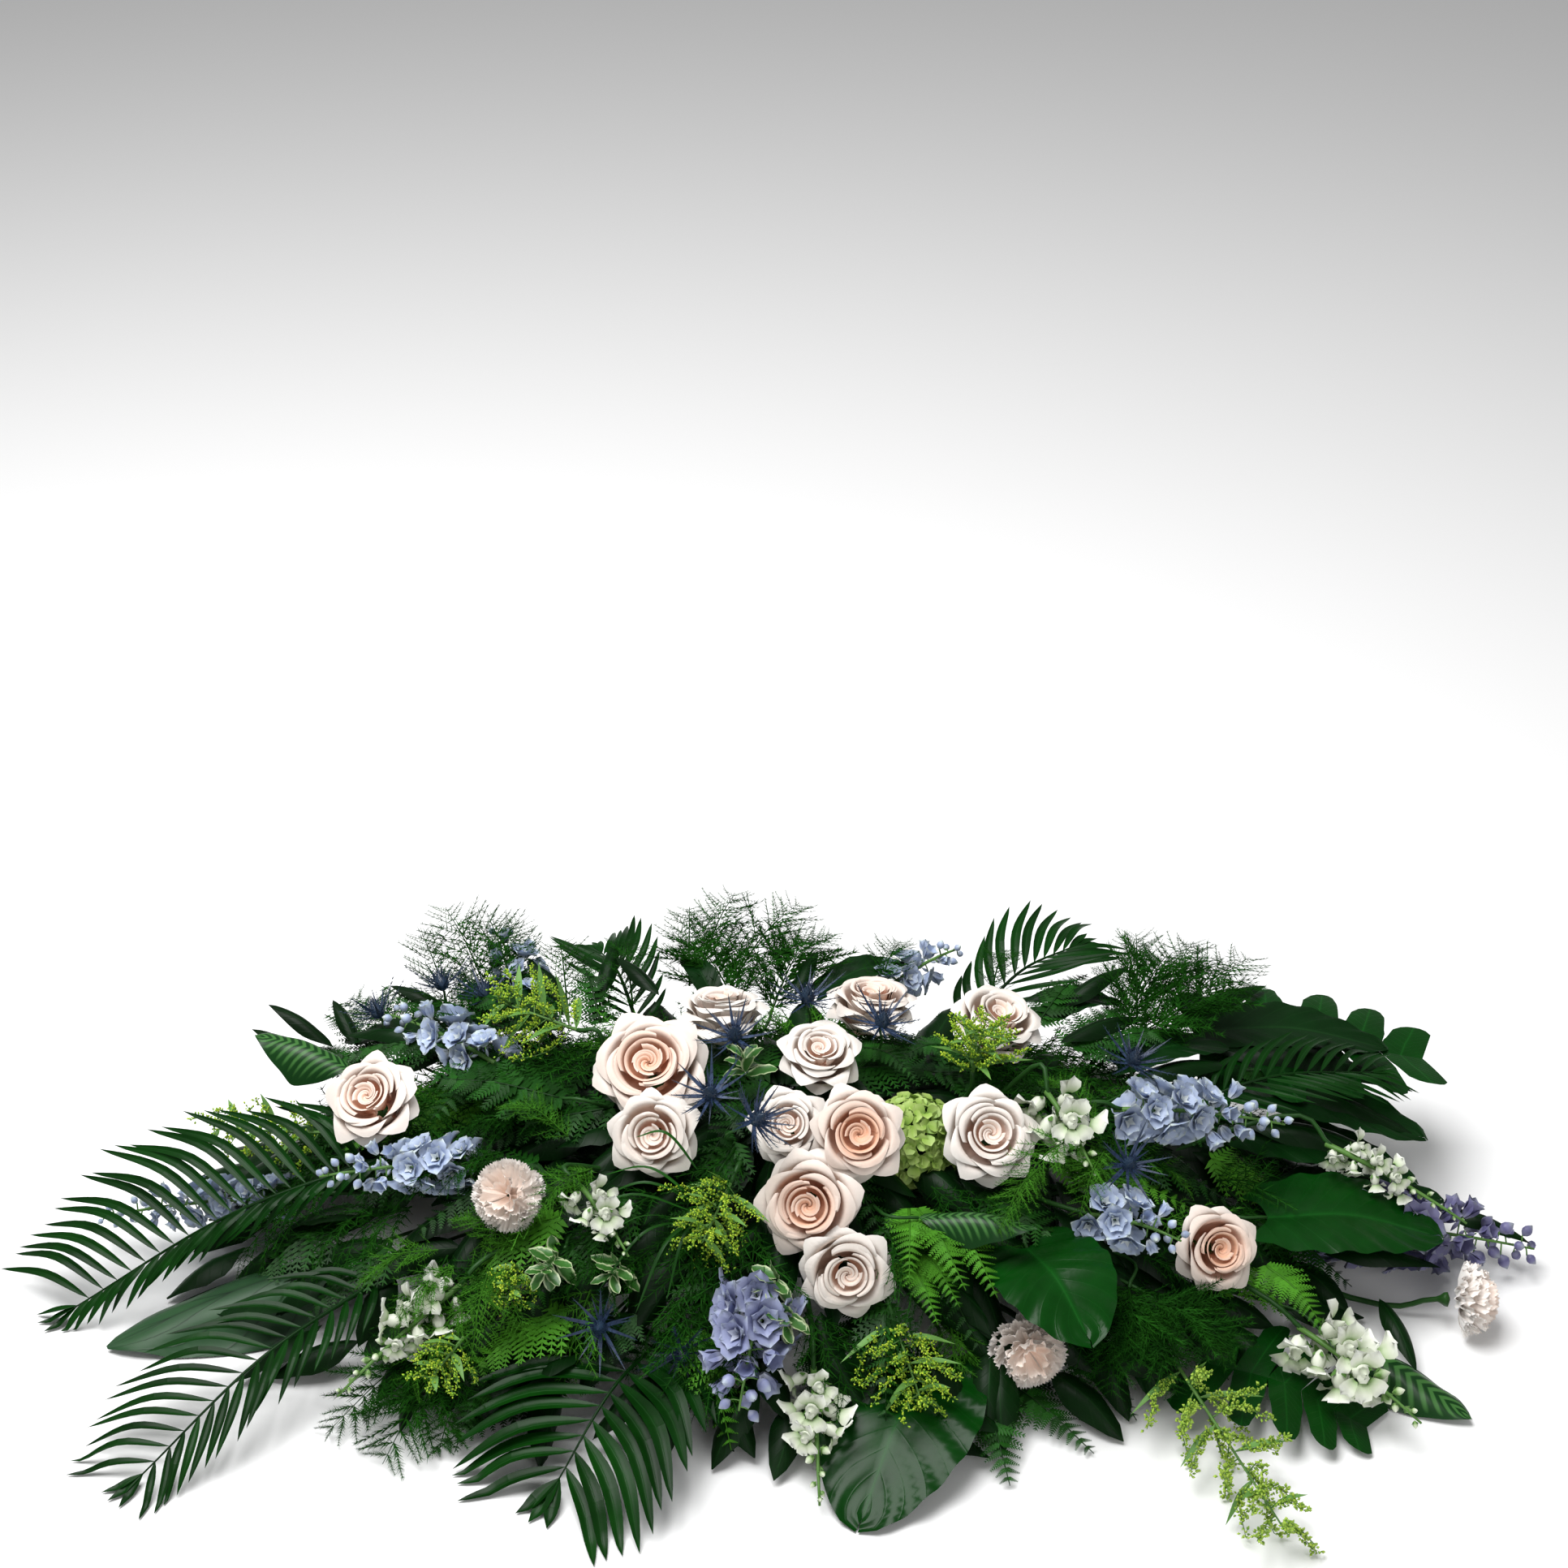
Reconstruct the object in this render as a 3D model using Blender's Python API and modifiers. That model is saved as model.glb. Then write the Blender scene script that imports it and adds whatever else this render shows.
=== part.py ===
"""A casket spray: cut flowers and foliage pushed into a block of floral foam on a long plastic saddle tray.

Metres, +Z up. The origin is the middle of the tray's underside. +X runs along the spray and -Y is its front.
Every stem stands in a hole in the foam. Blooms lie on a low dome, spikes and sprays reach out between them,
and the fronds and broad leaves leave the foam's sides and come down to the surface that the tray stands on.
"""

import math
import random

import bmesh
import bpy
from mathutils import Matrix, Vector

# The holder
FOAM_LENGTH, FOAM_WIDTH, FOAM_HEIGHT = 0.460, 0.106, 0.076
TRAY_MARGIN = 0.012
TRAY_FLOOR = 0.004
TRAY_RIM = 0.018
TRAY_WALL = 0.003
TRAY_CORNER = 0.020
SEAT_GAP = 0.0003
FOAM_BASE = TRAY_FLOOR + SEAT_GAP
FOAM_TOP = FOAM_BASE + FOAM_HEIGHT

# Stems
ROOT_DEPTH = 0.026
SHARP_ANGLE = math.radians(50)
STUB = 0.012
FORK_SHARE = 0.85
LEAN = 0.7
BEND = 0.22
HOLE_CLEARANCE = 0.0005
BLADE_THICKNESS = 0.0009
BLADE_HALF_HEIGHT = 0.0009
RIB_HALF_WIDTH = 0.0013
STALK_LAP = 0.006
LOWEST_LEAF = 0.0016
BLOOM_STEM = 0.0030
SPIKE_STEM = 0.0028
SPRAY_STEM = 0.0022
THISTLE_STEM = 0.0018
ROSE_CALYX, CARNATION_CALYX, HYDRANGEA_CALYX = 0.0085, 0.0065, 0.0030
CALYX_HEIGHT = 0.009

# How a bloom's rings run from its base to its heart:
# share of the radius, share of the height, how far the petal tips lean out and up, and turn in petals.
ROSE_RINGS = (
    (0.30, 0.00, 0.00, 0.00, 0.0),
    (0.72, 0.24, 0.06, 0.00, 0.0),
    (1.00, 0.62, 0.22, -0.18, 0.0),
    (0.66, 0.46, 0.00, 0.00, 0.5),
    (0.76, 0.86, 0.22, 0.04, 0.5),
    (0.40, 0.62, 0.00, 0.00, 0.0),
    (0.44, 1.02, 0.26, 0.10, 0.0),
)
CARNATION_RINGS = (
    (0.20, 0.00, 0.00, 0.00, 0.0),
    (0.30, 0.34, 0.00, 0.00, 0.0),
    (0.96, 0.70, 0.14, -0.12, 0.0),
    (0.62, 0.62, 0.00, 0.00, 0.5),
    (0.72, 0.98, 0.18, 0.16, 0.5),
    (0.40, 0.74, 0.00, 0.00, 0.0),
    (0.42, 1.12, 0.26, 0.14, 0.0),
)
ROSE_PETALS, CARNATION_PETALS = 5, 7
ROSE_DEPTH, CARNATION_DEPTH = 0.56, 0.62  # of the width
RUFFLE = 0.05
HEART_HEIGHT = 0.84  # of the depth

# A hydrangea head: a core that its florets stand out of
HYDRANGEA_CORE = 0.70  # of the head's radius
HYDRANGEA_SETBACK = 0.42  # of the head's width, from its face to the core's middle
HYDRANGEA_FOOT = 0.45  # of the core's radius, below its middle
HYDRANGEA_FLORETS = 11
HYDRANGEA_FLORET = 0.0125
GOLDEN_ANGLE = math.radians(137.5)

# Spikes: distance from whorl to whorl, florets in a whorl, radius of the stem between whorls
DELPHINIUM_WHORL = (0.0290, 4, 0.0035)
SNAPDRAGON_WHORL = (0.0200, 3, 0.0040)
GOLDENROD_ARMS = 5
GOLDENROD_SIDES = 3
# an arm's beads: width as a share of its reach, height as a share of its length, turn
GOLDENROD_BEADS = ((0.13, 0.30, 0.0), (0.07, 0.52, 0.8), (0.10, 0.74, 1.6))
THISTLE_BRACTS = 5
THISTLE_REACH = 0.032
THISTLE_SETBACK = 0.010
PITTOSPORUM_LEAVES = 7
PITTOSPORUM_REACH = 0.024

# bloom: centre of the open face, the way it faces, width
ROSES = {
    "rose_left": [((-0.355, -0.040, 0.183), (-0.25, -0.45, 0.80), 0.080)],
    "roses_mid_left": [
        ((-0.115, -0.042, 0.220), (-0.10, -0.50, 0.85), 0.098),
        ((-0.110, -0.110, 0.192), (-0.15, -0.80, 0.60), 0.074),
    ],
    "rose_back_left": [((-0.055, 0.045, 0.225), (-0.05, 0.30, 0.95), 0.078)],
    "rose_middle": [((0.031, -0.030, 0.226), (0.05, -0.25, 0.95), 0.070)],
    "rose_back_right": [((0.078, 0.062, 0.220), (0.05, 0.15, 0.98), 0.076)],
    "roses_front": [
        ((0.062, -0.122, 0.203), (0.08, -0.75, 0.65), 0.078),
        ((0.018, -0.166, 0.162), (-0.15, -0.85, 0.52), 0.086),
        ((0.052, -0.208, 0.124), (0.05, -0.88, 0.42), 0.076),
        ((0.003, -0.102, 0.198), (-0.05, -0.65, 0.72), 0.066),
    ],
    "rose_right": [((0.172, -0.106, 0.192), (0.10, -0.65, 0.75), 0.080)],
    "rose_back_far_right": [((0.190, 0.042, 0.212), (0.25, -0.10, 0.95), 0.078)],
    "rose_far_right": [((0.362, -0.160, 0.112), (0.25, -0.75, 0.55), 0.072)],
}
CARNATIONS = {
    "carnation_left": [((-0.232, -0.145, 0.160), (-0.20, -0.70, 0.70), 0.064)],
    "carnation_front": [((0.203, -0.238, 0.060), (0.15, -0.94, 0.26), 0.068)],
    "carnation_right": [((0.600, -0.135, 0.036), (0.93, -0.25, 0.20), 0.064)],
}
HYDRANGEA = ((0.112, -0.074, 0.178), (0.10, -0.35, 0.90), 0.084)

# Each node's hole in the foam: the face it is in, and where on that face
HOLES = {
    "stems_left": ("top", -0.165, -0.010),
    "stems_mid_left": ("top", -0.062, -0.002),
    "stems_middle": ("top", 0.018, -0.008),
    "stems_front": ("front", 0.044, 0.058),
    "stems_right": ("top", 0.092, -0.010),
    "stems_far_right": ("right", -0.022, 0.064),
    "delphiniums_left": ("left", -0.022, 0.062),
    "delphiniums_back_left": ("top", -0.130, 0.036),
    "delphinium_back_right": ("top", 0.048, 0.038),
    "delphiniums_right": ("top", 0.140, -0.030),
    "delphinium_front": ("front", -0.012, 0.056),
    "delphinium_far_right": ("right", 0.008, 0.034),
    "snapdragons_left": ("top", -0.108, -0.040),
    "snapdragon_front": ("front", 0.012, 0.036),
    "snapdragons_far_right": ("right", -0.004, 0.046),
    "snapdragon_right": ("top", 0.130, -0.020),
    "goldenrods_left": ("top", -0.150, 0.016),
    "goldenrod_middle": ("top", -0.036, -0.042),
    "goldenrod_front": ("front", 0.068, 0.062),
    "goldenrod_right": ("top", 0.112, -0.004),
    "goldenrod_trailing": ("front", 0.160, 0.044),
    "thistles_left": ("top", -0.182, 0.030),
    "thistles_middle": ("top", -0.018, 0.006),
    "thistles_front": ("front", -0.060, 0.060),
    "thistles_right": ("top", 0.160, -0.004),
    "palms_left": ("left", -0.038, 0.040),
    "palm_front": ("front", -0.036, 0.036),
    "palms_back": ("back", 0.004, 0.036),
    "palm_right": ("top", 0.206, 0.018),
    "monsteras_right": ("right", 0.014, 0.066),
    "monstera_low_right": ("front", 0.190, 0.034),
    "monstera_front": ("top", 0.082, -0.044),
    "monstera_bottom": ("front", 0.074, 0.028),
    "broad_leaf_left": ("left", 0.000, 0.034),
    "striped_leaf_right": ("front", 0.214, 0.028),
    "striped_leaf_middle": ("top", 0.058, -0.044),
    "striped_leaf_back": ("left", 0.036, 0.060),
    "fern_left": ("top", -0.088, 0.016),
    "fern_low_left": ("front", -0.096, 0.032),
    "ferns_right": ("front", 0.132, 0.025),
    "asparagus_back_left": ("back", -0.090, 0.056),
    "asparagus_back_right": ("back", 0.206, 0.056),
    "asparagus_low_left": ("front", -0.150, 0.048),
    "asparagus_low_right": ("front", 0.186, 0.060),
    "pittosporum": ("top", -0.070, -0.044),
}

# Green stems that fork just outside one hole: the blooms they carry, as node and place in it
STEM_BUNCHES = {
    "stems_left": (("rose_left", 0), ("carnation_left", 0)),
    "stems_mid_left": (("roses_mid_left", 0), ("roses_mid_left", 1), ("rose_back_left", 0)),
    "stems_middle": (("rose_middle", 0), ("rose_back_right", 0), ("roses_front", 3), ("roses_front", 0)),
    "stems_front": (("roses_front", 1), ("roses_front", 2), ("carnation_front", 0)),
    "stems_right": (("rose_right", 0), ("rose_back_far_right", 0), ("hydrangea", 0)),
    "stems_far_right": (("carnation_right", 0), ("rose_far_right", 0)),
}

# spike: neck, tip, reach of its florets
DELPHINIUMS = {
    "delphiniums_left": [
        ((-0.258, -0.080, 0.136), (-0.388, -0.100, 0.140), 0.021),
        ((-0.430, -0.030, 0.060), (-0.598, -0.020, 0.030), 0.018),
    ],
    "delphiniums_back_left": [
        ((-0.250, 0.020, 0.168), (-0.350, 0.092, 0.168), 0.022),
        ((-0.220, 0.110, 0.160), (-0.262, 0.195, 0.185), 0.020),
    ],
    "delphinium_back_right": [((0.085, 0.120, 0.170), (0.158, 0.165, 0.188), 0.019)],
    "delphiniums_right": [
        ((0.285, -0.050, 0.172), (0.425, -0.045, 0.152), 0.024),
        ((0.255, -0.130, 0.124), (0.325, -0.168, 0.128), 0.022),
    ],
    "delphinium_front": [((-0.018, -0.200, 0.100), (-0.036, -0.292, 0.058), 0.030)],
    "delphinium_far_right": [((0.460, -0.050, 0.050), (0.661, -0.058, 0.026), 0.020)],
}
SNAPDRAGONS = {
    "snapdragons_left": [
        ((-0.268, -0.176, 0.086), (-0.362, -0.252, 0.036), 0.024),
        ((-0.165, -0.135, 0.155), (-0.126, -0.192, 0.132), 0.022),
    ],
    "snapdragon_front": [((0.024, -0.250, 0.060), (0.028, -0.352, 0.014), 0.024)],
    "snapdragons_far_right": [
        ((0.428, -0.196, 0.056), (0.512, -0.280, 0.033), 0.027),
        ((0.472, -0.025, 0.112), (0.580, -0.086, 0.078), 0.018),
    ],
    "snapdragon_right": [((0.222, -0.056, 0.192), (0.256, -0.128, 0.166), 0.028)],
}
GOLDENRODS = {
    "goldenrods_left": [
        ((-0.178, 0.030, 0.196), (-0.246, 0.058, 0.206), 0.044),
        ((-0.400, 0.010, 0.100), (-0.500, 0.015, 0.100), 0.034),
    ],
    "goldenrod_right": [((0.160, -0.022, 0.190), (0.168, -0.018, 0.232), 0.036)],
    "goldenrod_middle": [((-0.044, -0.128, 0.156), (-0.066, -0.186, 0.142), 0.042)],
    "goldenrod_front": [((0.090, -0.214, 0.082), (0.110, -0.282, 0.057), 0.044)],
    "goldenrod_trailing": [((0.322, -0.232, 0.048), (0.388, -0.398, 0.030), 0.060)],
}
# thistle head: centre, the way it faces
THISTLES = {
    "thistles_left": [
        ((-0.362, 0.100, 0.168), (-0.5, 0.4, 0.75)),
        ((-0.305, 0.118, 0.186), (-0.3, 0.4, 0.85)),
        ((-0.264, 0.100, 0.188), (0.0, 0.2, 0.95)),
    ],
    "thistles_middle": [
        ((-0.042, -0.022, 0.231), (-0.1, -0.3, 0.95)),
        ((0.020, 0.028, 0.236), (0.0, 0.1, 0.98)),
        ((0.084, 0.000, 0.230), (0.2, -0.1, 0.95)),
        ((-0.062, -0.084, 0.216), (-0.2, -0.5, 0.85)),
        ((-0.020, -0.128, 0.224), (0.6, -0.4, 0.75)),
    ],
    "thistles_front": [
        ((-0.150, -0.222, 0.082), (-0.1, -0.85, 0.5)),
        ((-0.082, -0.240, 0.068), (0.1, -0.90, 0.20)),
    ],
    "thistles_right": [
        ((0.296, -0.022, 0.206), (0.2, -0.1, 0.95)),
        ((0.285, -0.122, 0.172), (0.2, -0.6, 0.75)),
    ],
}
# frond: neck, tip, leaflet pairs, longest leaflet, its share on the left, roll, closing of the tip's leaflets
PALMS = {
    "palms_left": [
        ((-0.340, -0.060, 0.128), (-0.640, -0.146, 0.010), 13, 0.132, 0.72, -0.50, 0.30),
        ((-0.340, -0.140, 0.062), (-0.514, -0.314, 0.008), 10, 0.120, 0.85, -0.10, 0.50),
    ],
    "palm_front": [((-0.100, -0.190, 0.044), (-0.180, -0.326, 0.014), 9, 0.120, 1.00, 0.00, 0.75)],
    "palms_back": [
        ((0.160, 0.110, 0.135), (0.262, 0.190, 0.172), 8, 0.095, 1.00, 0.00, 0.50),
        ((-0.130, 0.120, 0.130), (-0.168, 0.200, 0.160), 7, 0.075, 1.00, 0.00, 0.50),
    ],
    "palm_right": [((0.330, 0.010, 0.120), (0.520, 0.060, 0.128), 10, 0.080, 1.00, 0.00, 0.35)],
}
# leaf: neck, tip, half its width, whether its edge is cut
MONSTERAS = {
    "monsteras_right": [
        ((0.372, 0.105, 0.122), (0.575, 0.112, 0.104), 0.090, True),
        ((0.410, -0.085, 0.084), (0.550, -0.088, 0.068), 0.060, False),
    ],
    "monstera_low_right": [((0.345, -0.198, 0.024), (0.475, -0.255, 0.005), 0.068, True)],
    "monstera_front": [((0.200, -0.160, 0.114), (0.242, -0.246, 0.098), 0.060, False)],
    "monstera_bottom": [((0.116, -0.215, 0.040), (0.062, -0.355, 0.006), 0.075, False)],
}
BROAD_LEAVES = {
    "broad_leaf_left": [((-0.370, -0.080, 0.040), (-0.570, -0.160, 0.006), 0.048)],
    "striped_leaf_right": [((0.455, -0.160, 0.020), (0.562, -0.248, 0.007), 0.030)],
    "striped_leaf_middle": [((0.110, -0.160, 0.146), (0.205, -0.180, 0.150), 0.018)],
    "striped_leaf_back": [((-0.380, 0.060, 0.130), (-0.470, 0.092, 0.145), 0.024)],
}
# frond: neck, tip, pairs of pinnae, longest pinna
FERNS = {
    "fern_left": [((-0.190, -0.034, 0.172), (-0.302, -0.012, 0.176), 7, 0.052)],
    "fern_low_left": [((-0.186, -0.205, 0.022), (-0.286, -0.286, 0.004), 6, 0.044)],
    "ferns_right": [
        ((0.108, -0.160, 0.112), (0.142, -0.218, 0.100), 6, 0.030),
        ((0.160, -0.230, 0.028), (0.180, -0.322, 0.006), 6, 0.044),
        ((0.176, -0.205, 0.016), (0.250, -0.285, 0.005), 6, 0.040),
    ],
}
ASPARAGUS = {
    "asparagus_back_left": [
        ((-0.040, 0.100, 0.165), (-0.080, 0.166, 0.195), 5, 0.060),
        ((-0.010, 0.104, 0.165), (0.020, 0.166, 0.195), 5, 0.060),
        ((-0.200, 0.100, 0.120), (-0.300, 0.176, 0.118), 5, 0.050),
    ],
    "asparagus_back_right": [
        ((0.300, 0.090, 0.150), (0.345, 0.160, 0.185), 5, 0.060),
        ((0.310, 0.070, 0.160), (0.410, 0.125, 0.178), 5, 0.056),
    ],
    "asparagus_low_left": [
        ((-0.280, -0.178, 0.040), (-0.372, -0.266, 0.008), 5, 0.050),
        ((-0.270, -0.190, 0.042), (-0.322, -0.300, 0.008), 5, 0.056),
        ((-0.255, -0.190, 0.042), (-0.278, -0.288, 0.010), 5, 0.044),
    ],
    "asparagus_low_right": [
        ((0.285, -0.170, 0.080), (0.284, -0.245, 0.064), 5, 0.054),
        ((0.308, -0.180, 0.074), (0.372, -0.228, 0.064), 5, 0.048),
    ],
}
# twig: neck, tip
PITTOSPORUMS = {
    "pittosporum": [((-0.180, -0.165, 0.118), (-0.196, -0.205, 0.126))],
}

# Filling greenery: each host node carries leaves or ferns that run from its fork to these tips
FILL_STALK = 0.38  # of the blade's whole length
FILL_LEAF_WIDTH = 0.16  # half a leaf's width, of its length with its stalk
FILL_FERN_WIDTH = 0.27
FILL_FERN_PAIRS = 4
FILL_RISE = 0.16
FILLING = {
    "asparagus_back_left": [
        ("leaf", (-0.340, 0.130, 0.030)),
        ("fern", (-0.260, 0.190, 0.025)),
        ("leaf", (-0.170, 0.220, 0.020)),
        ("fern", (-0.090, 0.232, 0.040)),
        ("leaf", (-0.280, 0.150, 0.090)),
        ("leaf", (-0.120, 0.190, 0.110)),
    ],
    "palms_back": [
        ("leaf", (-0.020, 0.236, 0.020)),
        ("fern", (0.050, 0.232, 0.030)),
        ("leaf", (0.110, 0.228, 0.020)),
        ("leaf", (0.020, 0.200, 0.100)),
    ],
    "asparagus_back_right": [
        ("fern", (0.170, 0.226, 0.025)),
        ("leaf", (0.240, 0.215, 0.020)),
        ("fern", (0.310, 0.190, 0.030)),
        ("leaf", (0.390, 0.150, 0.030)),
        ("leaf", (0.190, 0.190, 0.100)),
    ],
    "striped_leaf_back": [
        ("leaf", (-0.420, 0.120, 0.040)),
        ("leaf", (-0.480, 0.040, 0.030)),
    ],
    "monsteras_right": [
        ("leaf", (0.470, 0.030, 0.040)),
        ("leaf", (0.440, 0.100, 0.040)),
    ],
    "asparagus_low_left": [
        ("leaf", (-0.347, -0.197, 0.030)),
        ("leaf", (-0.240, -0.270, 0.020)),
    ],
    "fern_low_left": [("leaf", (-0.140, -0.170, 0.070))],
    "monstera_low_right": [("leaf", (0.381, -0.172, 0.030))],
    "stems_left": [
        ("leaf", (-0.280, -0.020, 0.130)),
        ("leaf", (-0.200, -0.100, 0.130)),
        ("leaf", (-0.230, 0.060, 0.130)),
    ],
    "stems_mid_left": [
        ("leaf", (-0.160, 0.040, 0.160)),
        ("leaf", (-0.080, 0.100, 0.170)),
    ],
    "stems_middle": [("leaf", (0.020, 0.110, 0.170))],
    "stems_front": [
        ("leaf", (0.167, -0.148, 0.102)),
        ("leaf", (-0.049, -0.142, 0.100)),
    ],
    "stems_right": [
        ("leaf", (0.150, 0.110, 0.160)),
        ("leaf", (0.240, 0.040, 0.160)),
        ("leaf", (0.194, -0.071, 0.150)),
    ],
    "stems_far_right": [
        ("leaf", (0.360, -0.060, 0.090)),
        ("leaf", (0.340, -0.130, 0.060)),
    ],
}

MATERIALS = {  # base colour, roughness
    "tray_plastic": ((0.020, 0.060, 0.030), 0.45),
    "foam": ((0.080, 0.200, 0.070), 0.95),
    "rose_petal": ((0.900, 0.760, 0.660), 0.60),
    "carnation_petal": ((0.880, 0.700, 0.610), 0.65),
    "hydrangea_petal": ((0.380, 0.560, 0.130), 0.60),
    "stem_green": ((0.100, 0.230, 0.060), 0.55),
    "delphinium_petal": ((0.420, 0.470, 0.740), 0.55),
    "snapdragon_petal": ((0.740, 0.800, 0.620), 0.55),
    "goldenrod_floret": ((0.520, 0.600, 0.060), 0.60),
    "thistle_bract": ((0.060, 0.100, 0.220), 0.45),
    "palm_leaf": ((0.010, 0.100, 0.020), 0.32),
    "monstera_leaf": ((0.012, 0.110, 0.020), 0.28),
    "broad_leaf": ((0.040, 0.130, 0.050), 0.38),
    "fern_leaf": ((0.030, 0.180, 0.030), 0.45),
    "asparagus_leaf": ((0.030, 0.160, 0.040), 0.55),
    "pittosporum_leaf": ((0.120, 0.240, 0.080), 0.45),
}

stem_holes = []
grown = {}  # each plant node's slot, its parts and the fork of its stem


def material(name):
    made = bpy.data.materials.get(name)
    if made is None:
        colour, roughness = MATERIALS[name]
        made = bpy.data.materials.new(name)
        made.use_nodes = True
        shader = made.node_tree.nodes["Principled BSDF"]
        shader.inputs["Base Color"].default_value = (*colour, 1)
        shader.inputs["Roughness"].default_value = roughness
        shader.inputs["Metallic"].default_value = 0
    return made


def link(mesh, name, collection):
    made = bpy.data.objects.new(name, mesh)
    collection.objects.link(made)
    return made


def fuse(name, meshes, slot, collection):
    """One node: the meshes joined into a single closed body."""
    body = link(meshes[0], name, collection)
    if len(meshes) > 1:
        repeats = bpy.data.collections.new(name + "_repeats")
        bpy.context.scene.collection.children.link(repeats)
        for mesh in meshes[1:]:
            link(mesh, name + "_repeat", repeats)
        join = body.modifiers.new("join", "BOOLEAN")
        join.operation = "UNION"
        join.operand_type = "COLLECTION"
        join.collection = repeats
        join.solver = "MANIFOLD"
        graph = bpy.context.evaluated_depsgraph_get()
        joined = bpy.data.meshes.new_from_object(body.evaluated_get(graph))
        body.modifiers.clear()
        body.data = joined
        for repeat in list(repeats.objects):
            bpy.data.objects.remove(repeat)
        bpy.data.collections.remove(repeats)
    body.data.materials.clear()
    body.data.materials.append(material(slot))
    body.data.shade_smooth()
    body.data.set_sharp_from_angle(angle=SHARP_ANGLE)
    return body


def evaluated_mesh(made):
    """The mesh of an object as it shows, with the object then removed."""
    bpy.context.view_layer.update()
    graph = bpy.context.evaluated_depsgraph_get()
    mesh = bpy.data.meshes.new_from_object(made.evaluated_get(graph))
    bpy.data.objects.remove(made)
    return mesh


def curve_through(points, steps):
    """Points on one smooth curve through the given points, with so many steps between each two."""
    ends = [2 * points[0] - points[1], *points, 2 * points[-1] - points[-2]]
    found = []
    for before, start, end, after in zip(ends, ends[1:], ends[2:], ends[3:]):
        for step in range(steps):
            t = step / steps
            found.append(
                0.5
                * (
                    2 * start
                    + (end - before) * t
                    + (2 * before - 5 * start + 4 * end - after) * t * t
                    + (3 * start - before - 3 * end + after) * t * t * t
                )
            )
    return [*found, points[-1].copy()]


def tube(points, radii):
    """A stem: a curve of four sides with filled caps, as a closed mesh."""
    data = bpy.data.curves.new("stem", "CURVE")
    data.dimensions = "3D"
    data.bevel_depth = 0.001
    data.bevel_resolution = 0
    data.use_fill_caps = True
    spline = data.splines.new("POLY")
    spline.points.add(len(points) - 1)
    for i, (point, at, radius) in enumerate(zip(spline.points, points, radii)):
        point.co = (*at, 1)
        point.radius = radius / data.bevel_depth
    mesh = evaluated_mesh(link(data, "stem", bpy.context.scene.collection))
    bpy.data.curves.remove(data)
    shape = bmesh.new()
    shape.from_mesh(mesh)
    bmesh.ops.remove_doubles(shape, verts=shape.verts, dist=1e-6)
    shape.to_mesh(mesh)
    shape.free()
    return mesh


def placed(at, along, turn=0.0):
    """The matrix that stands a shape at a point with its +Z along a direction."""
    return (
        Matrix.Translation(at)
        @ Vector(along).to_track_quat("Z", "Y").to_matrix().to_4x4()
        @ Matrix.Rotation(turn, 4, "Z")
    )


def ring_solid(base, rings, top, matrix):
    """A closed loft from one point through rings of equal count to another point."""
    shape = bmesh.new()
    loops = [[shape.verts.new(matrix @ Vector(p)) for p in ring] for ring in rings]
    first, last = shape.verts.new(matrix @ Vector(base)), shape.verts.new(matrix @ Vector(top))
    count = len(loops[0])
    for i in range(count):
        j = (i + 1) % count
        shape.faces.new((first, loops[0][j], loops[0][i]))
        shape.faces.new((last, loops[-1][i], loops[-1][j]))
        for low, high in zip(loops, loops[1:]):
            shape.faces.new((low[i], low[j], high[j], high[i]))
    bmesh.ops.triangulate(shape, faces=shape.faces)
    mesh = bpy.data.meshes.new("loft")
    shape.to_mesh(mesh)
    shape.free()
    return mesh


def circle(radius, height, count, turn=0.0):
    steps = [math.tau * i / count + turn for i in range(count)]
    return [(radius * math.cos(a), radius * math.sin(a), height) for a in steps]


def whorled_bloom(rings, petals, at, facing, width, depth):
    """Nested cups of petals: each cup's rim stands over the valley inside it."""
    matrix = placed(Vector(at) - Vector(facing).normalized() * depth, facing)
    draw = random.Random(round(1000 * width + 100 * at[0]))
    loops = []
    for share, height, out, up, turn in rings:
        loop = []
        for i in range(2 * petals):
            tip = (0.5 if i % 2 else -0.5) * (1 if turn == 0.0 else -1)
            angle = math.pi * i / petals
            radius = width / 2 * share * (1 + out * tip + RUFFLE * draw.uniform(-1, 1))
            lift = height + up * tip + RUFFLE * height * draw.uniform(-1, 1)
            loop.append((radius * math.cos(angle), radius * math.sin(angle), depth * lift))
        loops.append(loop)
    return ring_solid((0, 0, 0), loops, (0, 0, depth * HEART_HEIGHT), matrix)


def star_trumpet(at, facing, radius, length, points, turn, waist=0.55):
    """A floret: its foot is sunk in the stem, and its rim is a star of petal tips round a hollow heart."""
    rim = []
    for i in range(2 * points):
        reach = radius if i % 2 == 0 else radius * waist
        angle = math.tau * i / (2 * points)
        lift = length if i % 2 == 0 else length * 0.86
        rim.append((reach * math.cos(angle), reach * math.sin(angle), lift))
    matrix = placed(at, facing, turn)
    return ring_solid((0, 0, 0), [rim], (0, 0, length * 0.70), matrix)


def hole(name):
    """Where a node's stem leaves the foam, and the way out of that face."""
    face, along, other = HOLES[name]
    half_length, half_width = FOAM_LENGTH / 2, FOAM_WIDTH / 2
    if face == "top":
        return Vector((along, other, FOAM_TOP)), Vector((0, 0, 1))
    if face in ("front", "back"):
        sign = -1 if face == "front" else 1
        return Vector((along, sign * half_width, other)), Vector((0, sign, 0))
    sign = -1 if face == "left" else 1
    return Vector((sign * half_length, along, other)), Vector((sign, 0, 0))


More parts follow.
